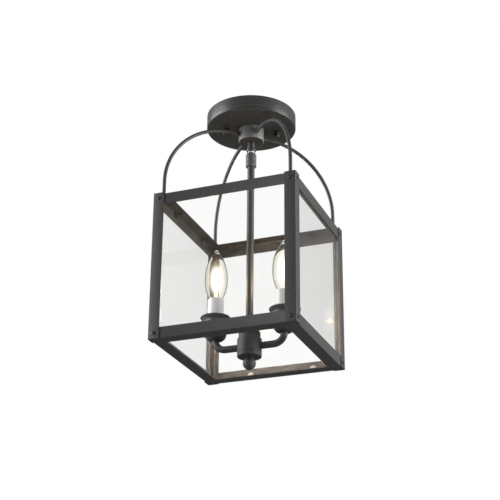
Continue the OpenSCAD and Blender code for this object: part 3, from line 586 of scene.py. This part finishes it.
def make_bead():
    """Neck and a flattened ball: the ball's radius is the neck's plus a bulge times the cosine of an
    angle, and its height follows the sine."""
    r, bottom, top = upright("hub_bead")
    neck, ball = 0.0053, 0.0056
    a = np.linspace(np.pi / 2, -np.pi / 2, 18)
    round_part = np.stack([neck + (r - neck) * np.cos(a), bottom + ball / 2 * (1 + np.sin(a))], 1)
    outline = np.vstack([[(NIPPLE_BORE, top), (neck, top)], round_part, [(NIPPLE_BORE, bottom)]])
    piece("bead_under_hub", [turned(outline)], BRONZE, "root", ["hub_bead"])


def make_nipple():
    """Threaded tube: its radius falls from the crest by half the thread's depth times
    1 + cos(turn - 2 pi z / pitch)."""
    r, bottom, top = upright("nipple")
    pitch, depth, bore = 0.00094, 0.0005, 0.0035
    z = np.arange(bottom, top, pitch / 6)[:, None]
    angle = np.linspace(0, 2 * np.pi, 40, endpoint=False)
    radius = r - depth / 2 * (1 + np.cos(angle - 2 * np.pi * z / pitch))
    points = np.stack([radius * np.cos(angle), radius * np.sin(angle), z + 0 * angle], -1)
    inside = np.stack([bore * np.cos(angle) + 0 * z, bore * np.sin(angle) + 0 * z, z + 0 * angle], -1)
    points = np.concatenate([points, inside[[-1, 0]]])
    thread = grid(points, np.zeros(2), 0.0, wrap=(True, True))
    piece("threaded_nipple", [thread], NICKEL, "root", ["nipple"])


def rod_path(reach, z, bend_from, end):
    """Route of one arched rod in its own upright plane: out, a quarter circle, and down."""
    start, bend = 0.010, reach - bend_from
    a = np.linspace(np.pi / 2, 0, 60)
    arc = np.stack([bend_from + bend * np.cos(a), z - bend + bend * np.sin(a)], 1)
    return np.vstack([[(start, z)], arc, [(reach, end)]])


def make_rods():
    """Four arched rods, each a circle carried along its route, with their threaded ends under the cage's
    top, and their ferrules at the hub, turned from a profile and aimed outwards."""
    rod_r, run, stud_r = 0.0025, 0.0105, 0.002
    ferrule_r, ferrule_l, ferrule_base, ferrule_nose = 0.0035, 0.006, 0.0002, 0.001
    hub_r = half_width("hub")
    z = high("arm_back_right")[2] - rod_r
    reach = (high("arm_back_right")[0] - rod_r) * math.sqrt(2)
    route = rod_path(reach, z, hub_r + run, rail_top)
    stud_end = low("arm_back_right")[2]
    corners = [(rod_r, 0), (ferrule_r, 0), (ferrule_r, ferrule_l), (rod_r, ferrule_l)]
    outline, worn = rounded(corners, [0, ferrule_base, ferrule_nose, 0])
    ferrules = []
    for quarter, corner in enumerate(CORNERS):
        a = math.radians(225 + 90 * quarter)
        out = np.array([math.cos(a), math.sin(a), 0])
        path = route[:, :1] * out + route[:, 1:] * AXES[2]
        stud = np.array([reach * out + AXES[2] * h for h in (rail_top, stud_end)])
        rod = tube(path, rod_r, (-out[1], out[0], 0))
        piece(f"rod_{corner}", [rod, tube(stud, stud_r, (-out[1], out[0], 0))], BRONZE, "root",
              [f"arm_{corner}"])
        ferrules.append(aimed(turned(outline, worn, steps=48), hub_r * out + z * AXES[2], out))
    piece("rod_ferrules", ferrules, BRONZE_TURNED, "root", ["arm_ferrules"])


def make_canopy_nuts():
    """Domed nuts: a short upright wall under the canopy that rounds over into a dome."""
    place_r, turn = 0.0365, math.radians(27)
    nut_r, seat_edge, dome, top = 0.00425, 0.0006, 0.0040375, low("canopy")[2]
    height = top - low("canopy_nuts")[2]
    corners = [(0, 0), (nut_r, 0), (nut_r, -height), (0, -height)]
    outline, worn = rounded(corners, [0, seat_edge, dome, 0], steps=12)
    nuts = []
    for side in (-1, 1):
        x, y = side * place_r * math.cos(turn), side * place_r * math.sin(turn)
        nuts.append(turned(outline + [0, top], worn, x, y, steps=48))
    piece("canopy_knobs", nuts, BRONZE_DARK, "root", ["canopy_nuts"])


# ---------------------------------------------------------------- cage


def bar_outline(leg_a, leg_b):
    """L outline with its outer corner at zero, a round bend and slightly round edges."""
    t, bend, inner_bend, edge = bar_sheet, 0.0007, 0.0006, 0.0004
    corners = [(0, 0), (leg_a, 0), (leg_a, t), (t, t), (t, leg_b), (0, leg_b)]
    return rounded(corners, [bend, edge, edge, inner_bend, edge, edge], steps=5)


def make_posts():
    """Angle bars with equal legs, upright: the L outline carried from the cage's bottom to its top, and
    three quarter turns of it."""
    sawn_edge = 0.0003
    outline, edge = bar_outline(post_leg, post_leg)
    bar = prism(outline, edge, post_bottom, post_top, sawn_edge)
    bar = mapped(bar, (-half, -half, 0), *AXES)
    for quarter, corner in enumerate(CORNERS):
        piece(f"angle_post_{corner}", [quarter_turned(bar, quarter)], BRONZE_POSTS, "root",
              [f"post_{corner}"])


def make_rails():
    """Mitred angle rails: the L outline carried from corner to corner. Its first coordinate runs
    inwards, and the mitre shortens each end by as much."""
    sawn_edge = 0.0002
    outline, edge = bar_outline(rail_shelf, rail_leg)
    bar = prism(outline, edge, -rail_out, rail_out, sawn_edge, inward=1.0)
    for quarter, face in enumerate(FACES):
        for level, z, up in (("top", rail_top, -1), ("bottom", rail_bottom, 1)):
            rail = mapped(bar, (0, -rail_out, z), AXES[1], up * AXES[2], AXES[0])
            coat = BRONZE_RAILS if level == "top" else BRONZE_LOW_RAILS
            piece(f"angle_{level}_rail_{face}", [quarter_turned(rail, quarter)], coat, "root",
                  [f"{level}_rail_{face}"])


def make_panes():
    """Flat panes: a rectangle with round corners, carried through the glass, with ground edges."""
    corner, ground_edge = 0.001, 0.0004
    lo, hi = low("glass_front"), high("glass_front")
    corners = [(lo[0], lo[2]), (hi[0], lo[2]), (hi[0], hi[2]), (lo[0], hi[2])]
    outline, edge = rounded(corners, corner, steps=4)
    sheet = prism(outline, edge, lo[1], hi[1], ground_edge, steps=2)
    pane = mapped(sheet, (0, 0, 0), AXES[0], AXES[2], AXES[1])
    for quarter, face in enumerate(FACES):
        made = piece(f"pane_{face}", [quarter_turned(pane, quarter)], PANE, "root", [f"glass_{face}"],
                     smooth_below=20.0)
        made.visible_shadow = False


def make_clips():
    """Bent spring tabs: a flat strip carried along an L-shaped line, and a rivet each. Towards the ends
    its width falls as a circle's chord does, and its section is a rectangle with round corners: the cosine
    and the sine of an angle, each raised to a small power."""
    inner_face = high("glass_front")[1]
    sheet, width, tab, foot, bend = 0.0008, 0.009, 0.008, 0.010, 0.0012
    round_end, end_share, squareness = 0.0035, 0.35, 0.35
    rivet_r, rivet_h, rivet_dome = 0.002, 0.001, 0.0008
    off_middle = (-0.057, 0.035)
    line, _ = rounded([(sheet / 2, tab), (sheet / 2, sheet / 2), (foot, sheet / 2)], [0, bend, 0])
    line = line[np.append(True, np.linalg.norm(np.diff(line, axis=0), axis=1) > 1e-7)]
    at = np.linspace(0, run_length(line)[-1], 40)
    line = np.stack([np.interp(at, run_length(line), line[:, k]) for k in (0, 1)], 1)
    from_end = np.minimum(at, at[-1] - at)
    share = np.sqrt(np.clip(1 - (1 - np.clip(from_end / round_end, 0, 1)) ** 2, 0, 1))
    across = width / 2 * (end_share + (1 - end_share) * share)
    heading = unit(np.gradient(line, axis=0))
    a = np.linspace(0, 2 * np.pi, 16, endpoint=False)
    sideways = np.sign(np.cos(a)) * np.abs(np.cos(a)) ** squareness
    through = np.sign(np.sin(a)) * np.abs(np.sin(a)) ** squareness * sheet / 2
    points = np.stack([
        across[:, None] * sideways,
        line[:, :1] - heading[:, 1:] * through,
        line[:, 1:] + heading[:, :1] * through], -1)
    strip = grid(points, np.zeros(2), 0.0, wrap=(False, True), ends=True)
    corners = [(0, 0), (rivet_r, 0), (rivet_r, rivet_h), (0, rivet_h)]
    outline, worn = rounded(corners, [0, 0, rivet_dome, 0])
    rivet = turned(outline + [0, sheet], worn, steps=24)
    rivet = mapped(rivet, (0, foot / 2 + sheet, 0), *AXES)
    # the lower row gets the steel painted as lit, the upper row the steel painted as shaded
    rows = (("lower", rail_bottom + bar_sheet, 1, SPRING), ("upper", rail_top - bar_sheet, -1, SHADED_SPRING))
    for row, z, up, material in rows:
        clips = []
        for x in off_middle:
            for quarter in range(4):
                for part in (strip, rivet):
                    placed = mapped(part, (x, inner_face, z), AXES[0], AXES[1], up * AXES[2])
                    clips.append(quarter_turned(placed, quarter))
        piece(f"{row}_pane_clips", clips, material, "root", ["glass_clips"])


def make_corner_screws():
    """Domed screw heads with a cross recess: the height is a dome's, less the recess's depth where the
    smaller of |x| and |y| is within the cross's slot and the radius within its arms, with sloping sides."""
    inset, shank_r, recess = 0.008, 0.0015, 0.0006
    slot_slope, slot_reach, arm_slope, arm_reach = 0.0003, 1.6, 0.0008, 2.2
    edge_wear = 0.7
    head_r, head_h = 0.0025, high("corner_screws")[0] - half
    radius = np.linspace(0, head_r, 18)[:, None]
    angle = np.linspace(0, 2 * np.pi, 48, endpoint=False)
    x, y = radius * np.cos(angle), radius * np.sin(angle)
    dome = head_h * np.sqrt(np.clip(1 - (radius / head_r) ** 2, 0, 1)) + 0 * x
    across = np.minimum(np.abs(x), np.abs(y))
    cut = np.clip(slot_reach - across / slot_slope, 0, 1) * np.clip(arm_reach - radius / arm_slope, 0, 1)
    head = np.stack([x, y, dome - recess * cut], -1)
    shank = np.stack([shank_r * np.cos(angle), shank_r * np.sin(angle), 0 * angle], -1)
    points = np.concatenate([head, shank[None], shank[None] - [0, 0, 2 * bar_sheet]])
    worn = np.concatenate([np.clip(dome / head_h, 0, 1) * (1 - cut), np.zeros((2, len(angle)))])
    screw = grid(points, np.zeros(2), worn * edge_wear, wrap=(False, True), ends=True)
    screws = []
    for z in (post_top - inset, post_bottom + inset):
        for quarter in range(4):
            for origin, heading in (((-half + inset, -half, z), -AXES[1]),
                                    ((-half, -half + inset, z), -AXES[0])):
                screws.append(quarter_turned(aimed(screw, origin, heading), quarter))
    piece("corner_screw_heads", screws, BRONZE_DARK, "root", ["corner_screws"])


# ---------------------------------------------------------------- stem and cluster


def make_collar():
    """Turned collar: a lip round the nipple, a sloping shoulder, a wall with one groove, and a round
    lower edge."""
    r, bottom, top = upright("collar")
    lip, shoulder, groove = 0.0008, 0.0025, 0.0005
    line_low, line_high = bottom + 0.0066, bottom + 0.0082
    corners = [(NIPPLE_BORE, top), (NIPPLE_BORE + lip, top), (r, top - shoulder), (r, line_high),
               (r - groove, line_high - groove), (r - groove, line_low + groove), (r, line_low),
               (r, bottom), (stem_bore, bottom)]
    radii = [0.0002, 0.0004, 0.0010, 0.0002, 0.0001, 0.0001, 0.0002, 0.0010, 0]
    outline, worn = rounded(corners, radii)
    # the collar's paler coat is painted light
    piece("stem_collar", [turned(outline, worn)], BRONZE_COLLAR_PAINTED_LIGHT, "cluster", ["collar"])


def make_stem():
    """Straight tube: a circle carried down the upright axis, from the collar to the drum."""
    r, bottom, top = upright("stem")
    path = np.stack([np.zeros(40), np.zeros(40), np.linspace(top, bottom, 40)], 1)
    piece("stem_tube", [tube(path, r, AXES[0], sides=48)], BRONZE, "cluster", ["stem"])


def make_cluster_parts():
    """Cap with a round shoulder, drum and screwed-on base, each turned from its profile, and a finial:
    a ball under a short ring."""
    r, bottom, top = upright("cluster_cap")
    neck_r, neck_h, drop, shoulder, wall = stem_bore + 0.00235, 0.0016, 0.0006, 0.0034, 0.0016
    corners = [(stem_bore, top), (neck_r, top), (neck_r, top - neck_h), (r, top - neck_h - drop),
               (r, bottom), (r - wall, bottom), (r - wall, top - neck_h - drop - wall),
               (stem_bore, top - neck_h - wall)]
    outline, worn = rounded(corners, [0.0002, 0.0005, 0.0006, shoulder, 0, 0, 0.0018, 0], steps=10)
    piece("cluster_dome", [turned(outline, worn)], BRONZE_TURNED, "cluster", ["cluster_cap"])

    drum_r, drum_low, drum_high = upright("cluster_body")
    corners = [(r, drum_low), (drum_r, drum_low), (drum_r, drum_high), (r, drum_high)]
    outline, worn = rounded(corners, [0, 0.0006, 0.0009, 0])
    piece("cluster_drum", [turned(outline, worn)], BRONZE_TURNED, "cluster", ["cluster_body"])

    base_low, base_bore = low("cluster_base")[2], stem_bore - 0.001
    corners = [(base_bore, base_low), (drum_r, base_low), (drum_r, drum_low), (base_bore, drum_low)]
    outline, worn = rounded(corners, [0, 0.0012, 0.0005, 0])
    piece("cluster_foot", [turned(outline, worn)], BRONZE_TURNED, "cluster", ["cluster_base"])

    ball_r, ring_r, ring_h = half_width("finial"), 0.0055, 0.0022
    centre = low("finial")[2] + ball_r
    a = np.linspace(-np.pi / 2, math.asin((base_low - ring_h - centre) / ball_r), 28)
    ball = np.stack([ball_r * np.cos(a), centre + ball_r * np.sin(a)], 1)
    outline = np.vstack([ball, [(ring_r, base_low - ring_h), (ring_r, base_low), (0, base_low)]])
    piece("ball_finial", [turned(outline)], BRONZE_TURNED, "cluster", ["finial"])


def make_light_arms():
    """Arms: a circle carried outwards, round a quarter circle and up into the cup."""
    r, bend = 0.00475, 0.015
    for name, side in SIDES.items():
        node = f"light_arm_{name}"
        z, top = low(node)[2] + r, high(node)[2]
        start = min(abs(low(node)[0]), abs(high(node)[0]))
        a = np.linspace(-np.pi / 2, 0, 24)
        arc = np.stack([light_x - bend + bend * np.cos(a), z + bend + bend * np.sin(a)], 1)
        route = np.vstack([[(start, z)], arc, [(light_x, top)]])
        path = np.stack([side * route[:, 0], 0 * route[:, 0], route[:, 1]], 1)
        piece(f"candle_arm_{name}", [tube(path, r, AXES[1], sides=36)], BRONZE, "cluster", [node])


def make_cups():
    """Candle cups: a quarter ellipse from the arm out to a nearly straight wall, hollow above the floor;
    and flared drip dishes, turned from their profiles."""
    bore, foot_r, foot_h, flare, wall = 0.0048, 0.00595, 0.010, 0.0006, 0.0018
    floor, floor_r, hollow, full_width = 0.005, 0.00695, 0.012, 0.018
    for name, side in SIDES.items():
        node = f"candle_cup_{name}"
        r, bottom, top = upright(node)
        a = np.linspace(-np.pi / 2, 0, 18)
        foot = np.stack([foot_r + (r - flare - foot_r) * np.cos(a), bottom + foot_h * (1 + np.sin(a))], 1)
        wall_line = [(r, bottom + full_width), (r, top), (r - wall, top), (r - wall, bottom + hollow),
                     (floor_r, bottom + floor), (bore, bottom + floor)]
        outline = np.vstack([[(bore, bottom)], foot, wall_line])
        piece(f"cup_{name}", [turned(outline, 0.0, side * light_x)], BRONZE_TURNED, "cluster", [node])

        node = f"drip_dish_{name}"
        rim, bottom, top = upright(node)
        hole, sheet, lip = 0.0091, 0.0012, 0.0018
        corners = [(hole, bottom), (r, bottom), (rim - sheet, top - lip), (rim, top - lip), (rim, top),
                   (rim - lip, top), (r - sheet / 2, bottom + sheet), (hole, bottom + sheet)]
        outline, worn = rounded(corners, [0, 0.0012, 0.0004, 0.0009, 0.0009, 0.0006, 0.0015, 0])
        piece(f"dish_{name}", [turned(outline, worn, side * light_x)], BRONZE_TURNED, "cluster", [node])


def make_sleeves():
    """Card tubes: a thin upright wall with round ends, turned about the candle's axis."""
    wall, foot_edge, mouth_edge = 0.0011, 0.0002, 0.0005
    for name, side in SIDES.items():
        node = f"sleeve_{name}"
        r, bottom, top = upright(node)
        corners = [(r, bottom), (r, top), (r - wall, top), (r - wall, bottom)]
        outline, worn = rounded(corners, [foot_edge, mouth_edge, mouth_edge, foot_edge])
        piece(f"candle_sleeve_{name}", [turned(outline, worn, side * light_x)], CARD, "cluster", [node])


# ---------------------------------------------------------------- bulbs


def torpedo(from_tip, length, widest, crown, neck):
    """Bulb radius at a distance d from its tip: R(1 - (1 - d/c)^2.3) up to the widest place at c, and
    from there the neck plus (R - neck)(1 - ((d - c) / (l - c))^2.2), with l the glass's length."""
    d = np.asarray(from_tip, float)
    upper = widest * (1 - np.clip(1 - d / crown, 0, 1) ** 2.3)
    lower = neck + (widest - neck) * (1 - np.clip((d - crown) / (length - crown), 0, 1) ** 2.2)
    return np.where(d < crown, upper, lower)


def make_bulbs():
    """Bulbs: the torpedo turned about the candle's axis, with a small sealed nose on its tip. Near the
    tip the radius is multiplied by s + (1 - s)n, and n times a bulge that fades down the glass is added,
    with n = 1 - e^(-d / rise). The inner face is set in by the wall and stops below the sealed tip."""
    crown, neck, wall, sealed_tip, in_base = 0.045, 0.0056, 0.0007, 0.005, 0.004
    rise, start_share, bulge, bulge_fade, inner_dome = 0.0012, 0.35, 0.0019, 0.0028, 0.7
    for name, side in SIDES.items():
        node = f"bulb_glass_{name}"
        widest, bottom, top = upright(node)
        base_top = bottom + in_base
        d = (top - bottom) * np.linspace(0, 1, 64) ** 1.4
        nose = 1 - np.exp(-d / rise)
        radius = np.maximum(torpedo(d, top - base_top, widest, crown, neck), 0)
        radius = radius * (start_share + (1 - start_share) * nose) + bulge * nose * np.exp(-d / bulge_fade)
        radius[0] = 0
        outer = np.stack([radius, top - d], 1)
        slope = unit(np.gradient(outer, axis=0))
        inner = outer + np.stack([slope[:, 1], -slope[:, 0]], 1) * wall
        inner[:, 0] = np.maximum(inner[:, 0], 0)
        inner = inner[inner[:, 1] < top - sealed_tip]
        inner = np.vstack([[(0, inner[0, 1] + inner_dome * inner[0, 0])], inner[1:]])
        outline = np.vstack([outer, inner[::-1]])
        glass = piece(f"torpedo_glass_{name}", [turned(outline, 0.0, side * light_x)], BULB,
                      f"bulb_{name}", [node], smooth_below=50.0)
        glass.visible_shadow = False
        make_screw_base(name, side)
        make_filament(name, side, base_top)


def make_screw_base(name, side):
    """Screw base: between its cone and its plain band the radius falls from the crest by half the
    thread's depth times 1 + cos(turn - 2 pi z / pitch)."""
    node = f"bulb_base_{name}"
    r, bottom, top = upright(node)
    cone, plain, pitch, depth, contact = 0.0026, 0.003, 0.00254, 0.0007, 0.0024
    cone_edge, step = 0.001, 0.0008
    angle = np.linspace(0, 2 * np.pi, 48, endpoint=False)
    z = np.arange(bottom + cone + cone_edge, top - plain, pitch / 12)[:, None]
    radius = r - depth / 2 * (1 + np.cos(angle - 2 * np.pi * z / pitch))
    ends = np.array([(contact, bottom), (r - cone_edge, bottom + cone), (r - depth, bottom + cone + step),
                     (r, top - plain + step), (r, top)])
    radius = np.concatenate([ends[:3, :1] + 0 * angle, radius, ends[3:, :1] + 0 * angle])
    z = np.concatenate([ends[:3, 1:], z, ends[3:, 1:]])
    points = np.stack([side * light_x + radius * np.cos(angle), radius * np.sin(angle), z + 0 * angle], -1)
    shell = grid(points, np.zeros(2), 0.0, wrap=(False, True), ends=True)
    piece(f"screw_base_{name}", [shell], BRASS, f"bulb_{name}", [node])


def make_filament(name, side, bottom):
    """Glass mount, two leads that spread upwards as a power of their height, and the coil: a helix
    carried along half a sine's arch between the leads."""
    axis = np.array([side * light_x, 0, 0])
    mount_h, mount_r, spread, coil_z = 0.016, 0.0026, 0.0062, high(f"filament_{name}")[2] - 0.003
    lead_r, lead_gap, lead_in = 0.00022, 0.0009, 0.003
    turns, coil_r, wire_r, arch_h = 46, 0.00055, 0.00014, 0.0035
    foot, crown = low(f"filament_{name}")[2], bottom + mount_h
    flare_r, flare_h, pinch_r, pinch_h = 1.3 * mount_r, 0.006, 0.6 * mount_r, 0.004
    corners = [(0, foot), (mount_r, foot), (flare_r, foot + flare_h), (mount_r, crown - pinch_h),
               (pinch_r, crown), (0, crown)]
    outline, _ = rounded(corners, [0, 0.0005, 0.001, 0.0012, 0.0008, 0])
    mount = turned(outline, 0.0, side * light_x, steps=32)
    mount_piece = piece(f"glass_mount_{name}", [mount], MOUNT_GLASS, f"bulb_{name}", [])
    mount_piece.visible_shadow = False
    t = np.linspace(0, 1, 24)
    leads = []
    for way in (-1, 1):
        x = way * (lead_gap + (spread - lead_gap) * t ** 1.5)
        z = crown - lead_in + (coil_z - crown + lead_in) * t
        leads.append(tube(axis + np.stack([x, 0 * x, z], 1), lead_r, AXES[1], sides=8))
    s = np.linspace(0, 1, turns * 12)
    arch = np.stack([spread * (2 * s - 1), 0 * s, coil_z + arch_h * np.sin(np.pi * s)], 1)
    wind = 2 * np.pi * turns * s
    out = np.stack([0 * s, np.cos(wind), np.sin(wind)], 1)
    helix = arch + coil_r * out
    heading = unit(np.gradient(helix, axis=0))
    out = unit(out - (out * heading).sum(1)[:, None] * heading)
    third = np.cross(heading, out)
    a = np.linspace(0, 2 * np.pi, 6, endpoint=False)[:, None]
    points = axis + helix[:, None] + wire_r * (np.cos(a) * out[:, None] + np.sin(a) * third[:, None])
    coil = grid(points, np.zeros(2), 0.0, wrap=(False, True), ends=True)
    piece(f"coil_{name}", [coil], HOT, f"bulb_{name}", [f"filament_{name}"])
    piece(f"leads_{name}", leads, NICKEL, f"bulb_{name}", [])


# ---------------------------------------------------------------- what stays as packed


def finish_cad_nodes():
    """Gives the nodes that stay their procedural finish."""
    finishes = {
        ZINC: ["box_strap", "canopy_strap", "canopy_screws", "nipple_nuts", "cluster_nipple",
               "bulb_contact_left", "bulb_contact_right"],
        BRONZE_DARK: ["arm_nuts"],
        MOULDED: ["socket_left", "socket_right"],
        BRASS: ["socket_contacts_left", "socket_contacts_right"],
    }
    for material, names in finishes.items():
        for name in names:
            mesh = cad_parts[name].data
            mesh.materials.clear()
            mesh.materials.append(material)


make_canopy()
make_hub()
make_bead()
make_nipple()
make_rods()
make_canopy_nuts()
make_posts()
make_rails()
make_panes()
make_clips()
make_corner_screws()
make_collar()
make_stem()
make_cluster_parts()
make_light_arms()
make_cups()
make_sleeves()
make_bulbs()
finish_cad_nodes()

# ---------------------------------------------------------------- room, light and camera

FLOOR_Z = -1.9
FLOOR_HALF = 40.0
ROOM_LIGHT = 0.58
ROOM_IN_GLOSS = 0.25
LAMP_AIM = (0.0, 0.0, -0.1)
BULB_WATTS = 0.21
BULB_COLOUR = (1.0, 0.73, 0.40)
CAMERA_AT = (0.5874, -1.5054, -0.9264)
CAMERA_YAW = math.radians(-21.33)
CAMERA_PITCH = math.radians(-23.95)
CAMERA_ROLL = math.radians(0.51)
LENS_MM = 92.6
SENSOR_MM = 36.0


def seen_direct(t):
    """1 for a ray from the camera that has met nothing but glass, and 0 for any other."""
    path = t.add("ShaderNodeLightPath").outputs
    bounces = t.math("ADD", path["Diffuse Depth"], path["Glossy Depth"])
    seen = t.math("MAXIMUM", path["Is Camera Ray"], path["Is Transmission Ray"])
    return t.math("MULTIPLY", seen, t.math("LESS_THAN", bounces, 0.5))


def make_floor():
    """Plain pale floor far below the lantern. It looks paler than the light that it throws back, and
    the object's shadow stays on it."""
    mesh = bpy.data.meshes.new("floor")
    ways = ((-1, -1), (1, -1), (1, 1), (-1, 1))
    mesh.from_pydata([(x * FLOOR_HALF, y * FLOOR_HALF, FLOOR_Z) for x, y in ways], [], [(0, 1, 2, 3)])
    material, t, shader, place = new_material("pale_floor")
    tone = t.noise(place, 3.0, 2.0)
    pale = t.mix(tone, (0.24, 0.24, 0.237, 1), (0.26, 0.26, 0.257, 1))
    own_light = t.mix(tone, (0.71, 0.71, 0.705, 1), (0.73, 0.73, 0.725, 1))
    direct = seen_direct(t)
    t.feed(shader, {"Base Color": t.mix(direct, (0.30, 0.30, 0.30, 1), pale), "Roughness": 0.9,
                    "Emission Color": t.mix(direct, (0, 0, 0, 1), own_light), "Emission Strength": 1.0})
    mesh.materials.append(material)
    floor = bpy.data.objects.new("floor", mesh)
    bpy.context.scene.collection.objects.link(floor)


def make_world():
    """White room: full strength to the camera and through glass, dim in reflections, as the dark coat
    needs, and a little over half as a light. Behind a pane a surface gets the light that it gets in front
    of one, so the white is only for rays that have met nothing but glass."""
    world = bpy.data.worlds.new("white_room")
    bpy.context.scene.world = world
    world.use_nodes = True
    t = Tree(world.node_tree)
    path = t.add("ShaderNodeLightPath").outputs
    direct = seen_direct(t)
    in_gloss = t.math("MAXIMUM", path["Is Glossy Ray"], t.math("GREATER_THAN", path["Glossy Depth"], 0.5))
    indirect = t.remap(in_gloss, 0.0, 1.0, ROOM_LIGHT, ROOM_IN_GLOSS)
    strength = t.add("ShaderNodeMix", {"Factor": direct, 2: indirect, 3: 1.0}).outputs[0]
    t.feed(world.node_tree.nodes["Background"], {"Color": (1, 1, 1, 1), "Strength": strength})


def softbox(name, place, size, watts):
    """Soft rectangular lamp that points from its place to the lantern."""
    lamp = bpy.data.lights.new(name, "AREA")
    lamp.shape = "RECTANGLE"
    lamp.size, lamp.size_y = size
    lamp.energy = watts
    obj = bpy.data.objects.new(name, lamp)
    bpy.context.scene.collection.objects.link(obj)
    heading = Vector(LAMP_AIM) - Vector(place)
    obj.rotation_euler = heading.to_track_quat("-Z", "Y").to_euler()
    obj.location = place
    obj.visible_camera = obj.visible_transmission = False


def make_lamps():
    """Two softboxes beside the lantern, and a small warm light inside each bulb."""
    softbox("left_softbox", place=(-1.570, -0.634, 0.05), size=(1.6, 1.5), watts=52.0)
    softbox("right_softbox", place=(1.663, 0.323, -0.15), size=(1.1, 1.5), watts=46.0)
    glow_r, above_glass_foot = 0.004, 0.036
    for name, side in SIDES.items():
        glow = bpy.data.lights.new(f"bulb_light_{name}", "POINT")
        glow.energy = BULB_WATTS
        glow.color = BULB_COLOUR
        glow.shadow_soft_size = glow_r
        obj = bpy.data.objects.new(f"bulb_light_{name}", glow)
        bpy.context.scene.collection.objects.link(obj)
        obj.location = (side * light_x, 0, low(f"bulb_glass_{name}")[2] + above_glass_foot)
        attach(obj, f"bulb_{name}")


def make_camera():
    """Camera of the photograph. The rows of its roll times its pitch times its yaw point to its right,
    forward and up."""
    turns = ((CAMERA_ROLL, "Y"), (CAMERA_PITCH, "X"), (CAMERA_YAW, "Z"))
    roll, pitch, yaw = (Matrix.Rotation(angle, 3, axis) for angle, axis in turns)
    right, forward, up = roll @ pitch @ yaw
    camera = bpy.data.cameras.new("camera")
    camera.sensor_fit = "HORIZONTAL"
    camera.sensor_width = SENSOR_MM
    camera.lens = LENS_MM
    obj = bpy.data.objects.new("camera", camera)
    bpy.context.scene.collection.objects.link(obj)
    turn = Matrix((right, up, -forward)).transposed().to_4x4()
    turn.translation = CAMERA_AT
    obj.matrix_world = turn
    bpy.context.scene.camera = obj


make_floor()
make_world()
make_lamps()
make_camera()
bpy.context.scene.view_settings.view_transform = "Standard"
